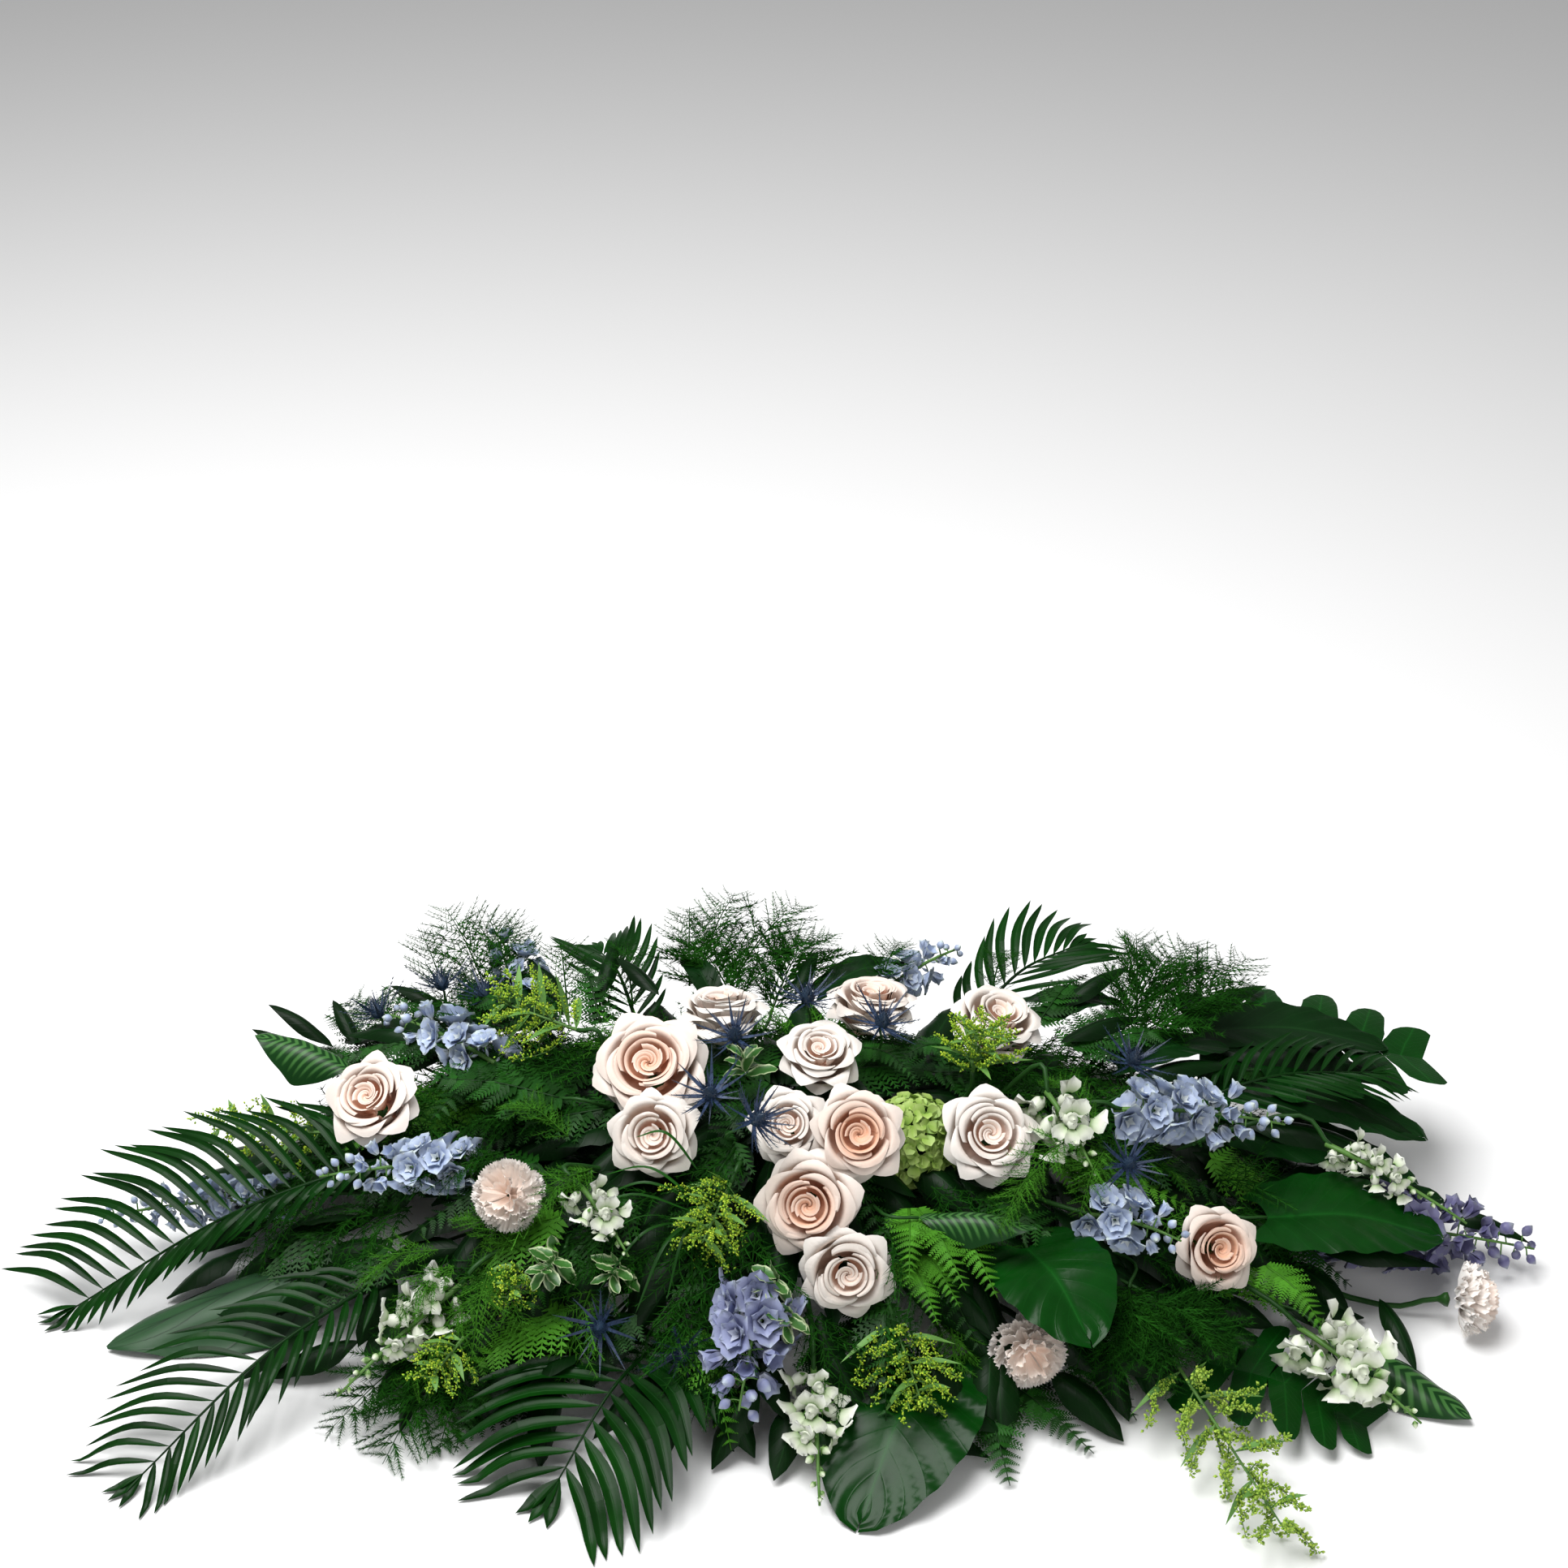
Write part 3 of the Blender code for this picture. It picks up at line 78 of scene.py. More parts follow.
# ruff of bracts: count, reach, height, lean
THISTLE_RUFFS = ((10, 0.037, 0.003, 1.20), (8, 0.028, 0.002, 1.50), (7, 0.022, 0.005, 0.85))
PALM_LEAN, PALM_WIDE_LEAN, PALM_WIDE = 56, 72, 0.006  # degrees, and the half width from which a leaflet is a wide one
PALM_FAN = 0.9  # how much wider the longer side of a frond stands
PALM_TIP = 0.32  # the tip's leaflets, against the longest
FERN_LEAN, ASPARAGUS_LEAN = math.radians(62), math.radians(48)
CUT_FINGERS = 5


def metres(row, kept=0):
    """A row of a table: two points and its sizes from millimetres, and its last values as they are."""
    split = len(row) - kept
    sizes = [value / 1000 for value in row[:split]]
    return (np.array(sizes[:3]), np.array(sizes[3:6]), *sizes[6:], *row[split:])


def table(rows, kept=0):
    """Named rows in metres."""
    return {name: [metres(row, kept) for row in found] for name, found in rows.items()}


HOLES = {}  # each node's hole in the foam: the face it is in, and where on that face


def planted(rows, kept=0):
    """A table whose rows start with the hole of the node's stem."""
    HOLES.update(rows)
    return table({name: row[3:] for name, row in rows.items()}, kept)


# The tables are in thousandths: places and sizes in millimetres, directions and shares in thousandths of one
# rose: centre of the open face, the way it faces, width, how peach its heart is
ROSES = table({
    "rose_left": ((-355, -40, 183, -250, -450, 800, 80, 550),),
    "roses_mid_left": ((-115, -42, 220, -100, -500, 850, 98, 800), (-110, -110, 192, -150, -800, 600, 74, 300)),
    "rose_back_left": ((-55, 45, 225, -50, 300, 950, 78, 100),),
    "rose_middle": ((31, -30, 226, 50, -250, 950, 70, 150),),
    "rose_back_right": ((78, 62, 220, 50, 150, 980, 76, 450),),
    "roses_front": (
        (62, -122, 203, 80, -750, 650, 78, 1000), (18, -166, 162, -150, -850, 520, 86, 850),
        (52, -208, 124, 50, -880, 420, 76, 300), (3, -102, 198, -50, -650, 720, 66, 150),
    ),
    "rose_right": ((172, -106, 192, 100, -650, 750, 80, 200),),
    "rose_back_far_right": ((190, 42, 212, 250, -100, 950, 78, 200),),
    "rose_far_right": ((362, -160, 112, 250, -750, 550, 72, 950),),
})
CARNATIONS = table({
    "carnation_left": ((-232, -145, 160, -200, -700, 700, 64),),
    "carnation_front": ((203, -238, 60, 150, -940, 260, 68),),
    "carnation_right": ((600, -135, 36, 930, -250, 200, 64),),
})
HYDRANGEA = metres((112, -74, 178, 100, -350, 900, 84))

# bunch of stems: hole, the blooms that it carries
STEM_BUNCHES = {
    "stems_left": ("top", -165, -10, ("rose_left", 0), ("carnation_left", 0)),
    "stems_mid_left": ("top", -62, -2, ("roses_mid_left", 0), ("roses_mid_left", 1), ("rose_back_left", 0)),
    "stems_middle": (
        "top", 18, -8, ("rose_middle", 0), ("rose_back_right", 0), ("roses_front", 3), ("roses_front", 0),
    ),
    "stems_front": ("front", 44, 58, ("roses_front", 1), ("roses_front", 2), ("carnation_front", 0)),
    "stems_right": ("top", 92, -10, ("rose_right", 0), ("rose_back_far_right", 0), ("hydrangea", 0)),
    "stems_far_right": ("right", -22, 64, ("carnation_right", 0), ("rose_far_right", 0)),
}
HOLES.update(STEM_BUNCHES)

# spike or spray: hole, then for each the neck, the tip and the reach of its florets
DELPHINIUMS = planted({
    "delphiniums_left": (
        "left", -22, 62, (-258, -80, 136, -388, -100, 140, 21), (-430, -30, 60, -598, -20, 30, 18),
    ),
    "delphiniums_back_left": (
        "top", -130, 36, (-250, 20, 168, -350, 92, 168, 22), (-220, 110, 160, -262, 195, 185, 20),
    ),
    "delphinium_back_right": ("top", 48, 38, (85, 120, 170, 158, 165, 188, 19)),
    "delphiniums_right": (
        "top", 140, -30, (285, -50, 172, 425, -45, 152, 24), (255, -130, 124, 325, -168, 128, 22),
    ),
    "delphinium_front": ("front", -12, 56, (-18, -200, 100, -36, -292, 58, 30)),
    "delphinium_far_right": ("right", 8, 34, (460, -50, 50, 650, -58, 26, 30)),
})
SNAPDRAGONS = planted({
    "snapdragons_left": (
        "top", -108, -40, (-268, -176, 86, -362, -252, 36, 24), (-165, -135, 155, -126, -192, 132, 22),
    ),
    "snapdragon_front": ("front", 12, 36, (24, -250, 60, 28, -352, 14, 24)),
    "snapdragons_far_right": (
        "right", -4, 46, (428, -196, 56, 512, -280, 33, 31), (472, -25, 112, 580, -86, 78, 18),
    ),
    "snapdragon_right": ("top", 130, -20, (222, -56, 192, 256, -128, 166, 28)),
})
GOLDENRODS = planted({
    "goldenrods_left": (
        "top", -150, 16, (-178, 30, 196, -246, 58, 206, 54), (-400, 10, 100, -500, 15, 100, 40),
    ),
    "goldenrod_right": ("top", 112, -4, (160, -22, 190, 168, -18, 232, 48)),
    "goldenrod_middle": ("top", -36, -42, (-44, -128, 156, -66, -186, 142, 52)),
    "goldenrod_front": ("front", 68, 62, (90, -214, 82, 110, -282, 57, 52)),
    "goldenrod_trailing": ("front", 160, 44, (322, -232, 48, 388, -398, 30, 60)),
})
# thistle: centre, the way it faces
THISTLES = planted({
    "thistles_left": (
        "top", -182, 30, (-362, 100, 168, -500, 400, 750), (-305, 118, 186, -300, 400, 850),
        (-264, 100, 188, 0, 200, 950),
    ),
    "thistles_middle": (
        "top", -18, 6, (-42, -22, 231, -100, -300, 950), (20, 28, 236, 0, 100, 980),
        (84, 0, 230, 200, -100, 950), (-62, -84, 216, -200, -500, 850), (-20, -128, 224, 600, -400, 750),
    ),
    "thistles_front": ("front", -60, 60, (-150, -222, 82, -100, -850, 500), (-82, -240, 68, 100, -900, 200)),
    "thistles_right": ("top", 160, -4, (296, -22, 206, 200, -100, 950), (285, -122, 172, 200, -600, 750)),
})

# frond: neck, tip, longest leaflet; then as they are the pairs of leaflets, the shares of their length on each side,
# the roll, the closing of the tip's leaflets and half a leaflet's width
PALMS = planted({
    "palms_left": (
        "left", -38, 40, (-340, -60, 128, -604, -120, 14, 116, 21, (1.22, 0.5), -0.5, 0.15, 0.0042),
        (-340, -140, 62, -514, -314, 8, 104, 16, (1.05, 0.75), -0.1, 0.15, 0.0042),
    ),
    "palm_front": ("front", -36, 36, (-100, -190, 44, -180, -326, 14, 132, 12, (1.0, 1.0), 0.0, 0.3, 0.0074)),
    "palms_back": (
        "back", 4, 36, (160, 110, 135, 262, 190, 172, 95, 11, (1.0, 1.0), 0.0, 0.5, 0.0044),
        (-130, 120, 130, -168, 200, 160, 75, 11, (1.0, 1.0), 0.0, 0.5, 0.0036),
    ),
    "palm_right": ("top", 206, 18, (330, 10, 120, 520, 60, 128, 80, 15, (1.0, 1.0), 0.0, 0.35, 0.0034)),
}, 5)
# leaf: neck, tip, half its width, whether its edge is cut
MONSTERAS = planted({
    "monsteras_right": (
        "right", 14, 66, (372, 105, 122, 575, 112, 104, 90, True), (410, -85, 84, 550, -88, 68, 60, False),
    ),
    "monstera_low_right": ("front", 190, 34, (345, -198, 24, 475, -255, 5, 68, True)),
    "monstera_front": ("top", 82, -44, (200, -160, 114, 242, -246, 98, 60, False)),
    "monstera_bottom": ("front", 74, 28, (116, -215, 40, 62, -355, 6, 75, False)),
}, 1)
BROAD_LEAVES = planted({
    "broad_leaf_left": ("left", 0, 34, (-370, -80, 40, -570, -160, 6, 48)),
    "striped_leaf_right": ("front", 214, 28, (455, -160, 20, 562, -248, 7, 30)),
    "striped_leaf_middle": ("top", 58, -44, (110, -160, 146, 205, -180, 150, 18)),
    "striped_leaf_back": ("left", 36, 60, (-380, 60, 130, -470, 92, 145, 24)),
})
# frond: neck, tip, longest feather, pairs of feathers
FERNS = planted({
    "fern_left": ("top", -88, 16, (-190, -34, 172, -302, -12, 176, 52, 15)),
    "fern_low_left": ("front", -96, 32, (-186, -205, 22, -286, -286, 4, 44, 13)),
    "ferns_right": (
        "front", 132, 25, (108, -160, 112, 142, -218, 100, 30, 11), (160, -230, 28, 180, -322, 6, 44, 13),
        (176, -205, 16, 250, -285, 5, 40, 13),
    ),
}, 1)
ASPARAGUS = planted({
    "asparagus_back_left": (
        "back", -90, 56, (-40, 100, 165, -80, 166, 195, 60, 14), (-10, 104, 165, 20, 166, 195, 60, 14),
        (-200, 100, 120, -300, 176, 118, 50, 14),
    ),
    "asparagus_back_right": (
        "back", 206, 56, (300, 90, 150, 345, 160, 185, 60, 14), (310, 70, 160, 410, 125, 178, 56, 14),
    ),
    "asparagus_low_left": (
        "front", -150, 48, (-280, -178, 40, -372, -266, 8, 50, 12), (-270, -190, 42, -322, -300, 8, 56, 12),
        (-255, -190, 42, -278, -288, 10, 44, 12),
    ),
    "asparagus_low_right": (
        "front", 186, 60, (285, -170, 80, 284, -245, 64, 54, 12), (308, -180, 74, 372, -228, 64, 48, 12),
    ),
}, 1)
PITTOSPORUMS = planted({
    "pittosporum": ("top", -70, -44, (-180, -165, 118, -196, -205, 126)),
})

# Filling greenery: each host node carries leaves or ferns that run from its fork to these tips
FILL_STALK, FILL_LEAF_WIDTH, FILL_FERN_WIDTH, FILL_RISE = 0.38, 0.16, 0.27, 0.16
FORK_SHARE = 0.85
FILLING = {
    "asparagus_back_left": (
        ("leaf", -340, 130, 30), ("fern", -260, 190, 25), ("leaf", -170, 220, 20), ("fern", -90, 232, 40),
        ("leaf", -280, 150, 90), ("leaf", -120, 190, 110),
    ),
    "palms_back": (
        ("leaf", -20, 236, 20), ("fern", 50, 232, 30), ("leaf", 110, 228, 20), ("leaf", 20, 200, 100),
    ),
    "asparagus_back_right": (
        ("fern", 170, 226, 25), ("leaf", 240, 215, 20), ("fern", 310, 190, 30), ("leaf", 390, 150, 30),
        ("leaf", 190, 190, 100),
    ),
    "striped_leaf_back": (("leaf", -420, 120, 40), ("leaf", -480, 40, 30)),
    "monsteras_right": (("leaf", 470, 30, 40), ("leaf", 440, 100, 40)),
    "asparagus_low_left": (("leaf", -347, -197, 30), ("leaf", -240, -270, 20)),
    "fern_low_left": (("leaf", -140, -170, 70),),
    "monstera_low_right": (("leaf", 381, -172, 30),),
    "stems_left": (("leaf", -280, -20, 130), ("leaf", -200, -100, 130), ("leaf", -230, 60, 130)),
    "stems_mid_left": (("leaf", -160, 40, 160), ("leaf", -80, 100, 170)),
    "stems_middle": (("leaf", 20, 110, 170),),
    "stems_front": (("leaf", 167, -148, 102), ("leaf", -49, -142, 100)),
    "stems_right": (("leaf", 150, 110, 160), ("leaf", 240, 40, 160), ("leaf", 194, -71, 150)),
    "stems_far_right": (("leaf", 360, -60, 90), ("leaf", 340, -130, 60)),
}

# Loose fronds over the mound, in the order of their random draws: kind, then the neck and the tip of each; the bright
# kinds wear a lighter copy of their colours, which is painted light
LOOSE_FRONDS = (
    ("bright_fern", (108, -166, 118, 142, -224, 106), (100, -170, 112, 124, -236, 98)),
    ("fern", (-300, 50, 165, -400, 80, 125)), ("leaf", (-290, 40, 160, -380, 60, 120)),
    ("wide", (-300, 70, 150, -390, 110, 125)), ("leaf", (-310, 60, 165, -390, 90, 145)),
    ("asparagus", (-250, 60, 175, -330, 110, 165)),
    ("fern", (-280, 50, 165, -370, 60, 145), (-215, 55, 185, -290, 110, 175)),
    ("leaf", (-200, 60, 180, -280, 115, 165), (-230, 60, 175, -320, 110, 155)),
    ("wide", (-210, 80, 170, -290, 130, 160)), ("leaf", (-110, 90, 190, -150, 140, 195)),
    ("wide", (-60, 95, 178, -90, 150, 185)), ("leaf", (10, 100, 185, 30, 150, 195)),
    ("wide", (30, 110, 178, 110, 145, 182), (290, 40, 150, 390, 80, 140)),
    ("leaf", (300, 20, 150, 400, 60, 135), (240, 40, 175, 320, 90, 165)), ("fern", (260, 40, 165, 350, 80, 155)),
    ("wide", (230, 90, 165, 300, 120, 160)),
    ("asparagus",
        (-258, 116, 150, -308, 206, 205), (-235, 102, 160, -269, 196, 205), (-281, 117, 140, -239, 183, 205),
        (-294, 105, 140, -325, 164, 205), (-325, 108, 120, -402, 196, 110), (-77, 124, 180, -45, 229, 205),
        (-48, 118, 180, 14, 213, 205), (-84, 118, 180, -86, 206, 205), (-33, 118, 180, 43, 164, 205),
        (312, 90, 160, 316, 164, 205), (326, 90, 160, 372, 187, 180), (332, 78, 160, 420, 162, 180),
        (309, 66, 160, 282, 113, 205), (339, 68, 150, 388, 127, 160),
    ),
    ("bright_asparagus",
        (245, -96, 180, 188, -152, 165), (260, -75, 180, 222, -32, 190), (208, -139, 180, 173, -185, 150),
        (265, -105, 170, 242, -152, 140), (-180, -84, 170, -236, -53, 180), (-159, -114, 160, -203, -164, 150),
        (-167, -84, 170, -142, -25, 185),
    ),
    ("asparagus", (-224, -49, 160, -278, -58, 150), (-236, -80, 150, -288, -109, 130)),
    ("bright_asparagus",
        (-270, -178, 110, -322, -212, 70), (-242, -188, 110, -252, -250, 70),
        (-285, -158, 110, -353, -164, 80), (-243, -178, 110, -207, -233, 80),
        (-218, -158, 110, -274, -128, 120), (-258, -184, 80, -308, -245, 30),
    ),
    ("asparagus",
        (290, -184, 80, 367, -220, 60), (282, -194, 80, 317, -261, 45), (276, -184, 80, 264, -261, 45),
        (270, -175, 90, 215, -212, 70), (303, -166, 100, 383, -184, 80),
    ),
    ("bright_asparagus", (155, -212, 70, 195, -244, 20), (136, -192, 70, 141, -253, 20)),
    ("asparagus",
        (221, -212, 70, 247, -253, 20), (-137, -178, 110, -189, -201, 95), (-110, -170, 120, -149, -215, 90),
        (-64, -140, 130, -110, -178, 110), (130, -105, 170, 168, -164, 150),
    ),
    ("fern", (-287, 42, 160, -209, -66, 165), (-231, 54, 160, -299, -49, 160)),
    ("bright_fern",
        (110, -142, 140, 146, -225, 125), (103, -142, 140, 101, -215, 125), (159, -71, 160, 204, -119, 155),
        (171, 37, 190, 139, 115, 195),
    ),
    ("fern",
        (149, 14, 190, 93, -9, 190), (65, 14, 190, 113, -25, 185), (-116, 27, 180, -127, -53, 180),
        (-60, -3, 185, -82, 73, 190),
    ),
    ("bright_fern", (401, -149, 85, 447, -210, 60)),
    ("fern",
        (329, -107, 120, 380, -146, 100), (89, -218, 40, 75, -285, 6), (122, -222, 35, 127, -294, 6),
        (156, -222, 35, 179, -285, 6), (189, -212, 35, 227, -267, 6), (238, -183, 35, 288, -248, 6),
        (29, -198, 40, 22, -262, 10), (-180, -161, 60, -218, -215, 20), (-243, -226, 30, -265, -289, 10),
        (-44, -201, 60, -77, -253, 20), (-363, 60, 120, -429, 121, 110), (-388, 18, 90, -453, 56, 60),
    ),
    ("leaf",
        (372, 95, 130, 557, 62, 105), (383, 60, 120, 554, 18, 90), (395, 28, 100, 543, -14, 75),
        (345, 119, 130, 442, 188, 130), (443, -52, 65, 558, -44, 50), (460, -93, 50, 561, -94, 36),
        (568, -18, 40, 647, -53, 28), (239, 88, 175, 308, 132, 190), (211, 100, 175, 270, 118, 180),
        (-403, 101, 125, -463, 131, 150), (-380, 95, 130, -406, 138, 150), (-410, 85, 110, -478, 121, 130),
        (-296, 130, 140, -357, 160, 150), (-191, 101, 170, -230, 147, 190), (-163, 113, 170, -151, 173, 190),
        (67, 87, 180, 79, 153, 195), (504, -127, 30, 525, -197, 12), (-44, -216, 30, -57, -262, 10),
    ),
    ("wide",
        (384, 67, 115, 556, 18, 90), (401, 18, 90, 545, -19, 70), (375, 119, 130, 536, 115, 115),
        (416, -47, 70, 570, -20, 50), (-97, -201, 60, -44, -235, 12), (185, -178, 40, 148, -250, 8),
        (272, -171, 60, 303, -226, 12),
    ),
    ("fern",
        (-286, 95, 130, -367, 174, 140), (-266, 117, 140, -300, 177, 160), (-205, 78, 160, -238, 156, 175),
        (-162, 83, 165, -184, 162, 180), (-360, 97, 110, -418, 157, 120),
    ),
    ("asparagus",
        (-293, 82, 130, -354, 124, 135), (-323, 96, 120, -388, 156, 130), (-191, 95, 165, -203, 180, 185),
        (-134, 101, 170, -144, 173, 190), (82, 99, 180, 105, 166, 195), (182, 99, 180, 200, 160, 190),
    ),
    ("fern",
        (223, 70, 175, 272, 143, 175), (250, 41, 170, 314, 115, 160), (368, 60, 120, 457, 73, 110),
        (-123, -203, 80, -163, -234, 20), (-71, -201, 60, -110, -245, 12), (245, -180, 50, 241, -250, 8),
        (291, -181, 60, 321, -234, 20), (63, -192, 70, 36, -229, 15),
    ),
    ("asparagus", (109, -210, 60, 108, -273, 12), (211, -181, 60, 222, -239, 15), (-84, -184, 80, -130, -226, 30)),
    ("bright_fern", (83, -152, 140, 74, -229, 120), (136, -146, 135, 172, -223, 115)),
)
# Long thin grass blades: neck, tip
GRASSES = (
    (-70, -140, 145, -150, -110, 150), (-70, -140, 145, -160, -135, 140),
    (-75, -145, 140, -175, -155, 140), (-75, -150, 135, -165, -185, 125),
    (-80, -150, 135, -150, -210, 112), (-75, -150, 135, -120, -225, 100),
    (-70, -130, 170, -122, -118, 196), (-70, -150, 135, -95, -215, 105),
)
# Small goldenrod sprays: neck, tip, reach
LOOSE_GOLDENRODS = (
    (-261, -227, 75, -286, -253, 55, 36), (-217, -178, 110, -224, -212, 105, 26),
)
# Twigs of small variegated leaves: neck, tip
TWIGS = (
    (-30, -60, 205, -34, -40, 222), (10, -225, 110, 0, -245, 105), (0, -200, 120, -12, -215, 120),
    (-130, -180, 120, -140, -200, 118),
)

# The mound that the added greenery follows: half length, reach to the front and to the back, height
MOUND_LENGTH, MOUND_FRONT, MOUND_BACK, MOUND_HEIGHT = 0.520, 0.285, 0.185, 0.196
BLOOM_ROOM = 1.1  # a frond's least distance from a bloom's middle, against the bloom's radius


# Shapes

class Shape:
    """Points and four-sided faces. Each point has a tone, and a place: across and along its petal, and a draw."""

    def __init__(self, points, quads, tone, place):
        self.points, self.quads, self.tone, self.place = points, quads, tone, place


def unit(vectors):
    vectors = np.asarray(vectors, float)
    return vectors / np.maximum(np.linalg.norm(vectors, axis=-1, keepdims=True), 1e-12)


def joined(shapes):
    starts = np.cumsum([0] + [len(s.points) for s in shapes[:-1]])
    return Shape(
        np.concatenate([s.points for s in shapes]),
        np.concatenate([s.quads + start for s, start in zip(shapes, starts)]),
        np.concatenate([s.tone for s in shapes]),
        np.concatenate([s.place for s in shapes]),
    )


def grid(points, tone=0.5, across=None, along=None, seed=0.0, closed=False):
    """A sheet through rows of points, or a tube where each row closes on itself."""
    rows, columns = points.shape[:2]
    index = np.arange(rows * columns).reshape(rows, columns)
    if closed:
        index = np.concatenate([index, index[:, :1]], axis=1)
    quads = np.stack([index[:-1, :-1], index[1:, :-1], index[1:, 1:], index[:-1, 1:]], axis=-1)
    place = np.empty((rows, columns, 3))
    place[..., 0] = np.linspace(-1, 1, columns) if across is None else across
    place[..., 1] = (np.linspace(0, 1, rows) if along is None else along)[:, None]
    place[..., 2] = seed
    tones = np.broadcast_to(np.asarray(tone, float), (rows, columns))
    return Shape(points.reshape(-1, 3), quads.reshape(-1, 4), tones.reshape(-1).copy(), place.reshape(-1, 3))


def stands(at, along, turn=0.0, size=1.0):
    """Matrices that stand a shape at points, with its +Z along directions and its +Y to the upper side."""
    at, along = np.atleast_2d(at).astype(float), unit(np.atleast_2d(along))
    count = max(len(at), len(along))
    along = np.broadcast_to(along, (count, 3))
    turn = np.broadcast_to(np.asarray(turn, float), (count,))[:, None]
    size = np.broadcast_to(np.asarray(size, float), (count,))[:, None]
    steep = np.abs(along[:, 2:3]) > 0.97
    side = unit(np.cross(np.where(steep, (0.0, -1.0, 0.0), UP), along))
    upper = np.cross(along, side)
    made = np.zeros((count, 4, 4))
    made[:, :3, 0] = (np.cos(turn) * side + np.sin(turn) * upper) * size
    made[:, :3, 1] = (np.cos(turn) * upper - np.sin(turn) * side) * size
    made[:, :3, 2] = along * size
    made[:, :3, 3] = at
    made[:, 3, 3] = 1
    return made


def stamped(shape, matrices, draw, tone_shift=0.0):
    """Copies of a shape at each matrix, each with a draw of its own."""
    copies, size = len(matrices), len(shape.points)
    points = np.einsum("nij,kj->nki", matrices[:, :3, :3], shape.points) + matrices[:, None, :3, 3]
    quads = shape.quads[None] + (np.arange(copies) * size)[:, None, None]
    place = np.tile(shape.place, (copies, 1))
    place[:, 2] = np.repeat(draw.random(copies), size)
    tone = np.tile(shape.tone, copies) + np.repeat(np.broadcast_to(tone_shift, (copies,)), size)
    return Shape(points.reshape(-1, 3), quads.reshape(-1, 4), tone, place)


def curve(points, steps=6):
    """Points on one smooth curve through the given ones."""
    points = np.asarray(points, float)
    ends = np.concatenate([[2 * points[0] - points[1]], points, [2 * points[-1] - points[-2]]])
    t = (np.arange(steps) / steps)[:, None]
    found = [
        0.5 * (2 * b + (c - a) * t + (2 * a - 5 * b + 4 * c - d) * t**2 + (3 * b - a - 3 * c + d) * t**3)
        for a, b, c, d in zip(ends, ends[1:], ends[2:], ends[3:])
    ]
    return np.concatenate([*found, points[-1:]])


def on_path(path, shares):
    """Points at shares of a path, and the number of the path's point before each."""
    position = np.clip(shares, 0, 1) * (len(path) - 1)
    low = np.minimum(position.astype(int), len(path) - 2)
    part = (position - low)[..., None]
    return path[low] * (1 - part) + path[low + 1] * part, low


def raised(points, lowest=LOWEST_LEAF):
    """The points, none of them lower than the lid allows."""
    points[..., 2] = np.maximum(points[..., 2], lowest)
    return points


def frames(rib, roll=0.0):
    """Tangent, side and upper direction along a rib, rolled about it."""
    tangent = unit(np.gradient(rib, axis=0))
    side = unit(np.cross(tangent, UP) + 1e-9)
    upper = np.cross(side, tangent)
    c, s = math.cos(roll), math.sin(roll)
    return tangent, c * side - s * upper, c * upper + s * side


def ring(radii, sides, side=(1.0, 0.0, 0.0), upper=(0.0, 1.0, 0.0)):
    """Rings of points about the origin, one for each radius."""
    angle = (np.arange(sides) * math.tau / sides)[None, :, None]
    turned = np.cos(angle) * np.atleast_2d(side)[:, None] + np.sin(angle) * np.atleast_2d(upper)[:, None]
    return turned * radii[:, None, None]


def tube(points, radii, sides=6, tone=0.5):
    """A stem with closed ends."""
    points = np.asarray(points, float)
    radii = np.broadcast_to(np.asarray(radii, float), (len(points),))
    tangent, side, upper = frames(points)
    first, last = points[:1] - tangent[:1] * radii[0] * 0.3, points[-1:] + tangent[-1:] * radii[-1] * 0.3
    radii = np.concatenate([[radii[0] * 0.1], radii, [radii[-1] * 0.1]])
    side, upper = (np.concatenate([v[:1], v, v[-1:]]) for v in (side, upper))
    return grid(np.concatenate([first, points, last])[:, None] + ring(radii, sides, side, upper), tone, closed=True)


def egg(length, radius, sides=6, rows=5, nose=0.5, tone=0.5):
    """A closed bud along +Z, from its foot at the origin; without a tone it fades from foot to nose."""
    t = np.linspace(0.03, 0.97, rows)
    points = ring(np.sin(math.pi * t**nose) * radius, sides) + (t * length)[:, None, None] * UP
    return grid(points, t[:, None] if tone is None else tone, closed=True)


def blade(rib, widths, columns=5, fold=0.15, curl=0.0, wave=0.0, waves=3.0, roll=0.0, seed=0.0):
    """A leaf along a rib: folded up at the rib, curled down at the sides and waved at its edge."""
    _, side, upper = frames(rib, roll)
    across, along = np.linspace(-1, 1, columns), np.linspace(0, 1, len(rib))
    reach = widths[:, None] * across[None]
    lift = fold * np.abs(reach) - curl * reach**2 / max(widths.max(), 1e-9)
    phase = math.tau * (waves * along[:, None] + 7 * seed) + np.sign(across)[None] * 0.9
    lift = lift + wave * np.sin(phase) * across[None] ** 2
    points = rib[:, None] + side[:, None] * reach[..., None] + upper[:, None] * lift[..., None]
    return grid(raised(points), np.abs(across), across, along, seed)


def oval(steps, half_width, broadest=0.45, sharp=1.0):
    """Half widths along an oval leaf, with a fine point."""
    t = np.linspace(0, 1, steps)
    swelling, closing = t / broadest * math.pi / 2, (t - broadest) / (1 - broadest) * math.pi / 2
    shape = np.where(t < broadest, np.sin(swelling), np.cos(closing))
    return half_width * np.maximum(np.maximum(shape, 0) ** sharp, 0.02)


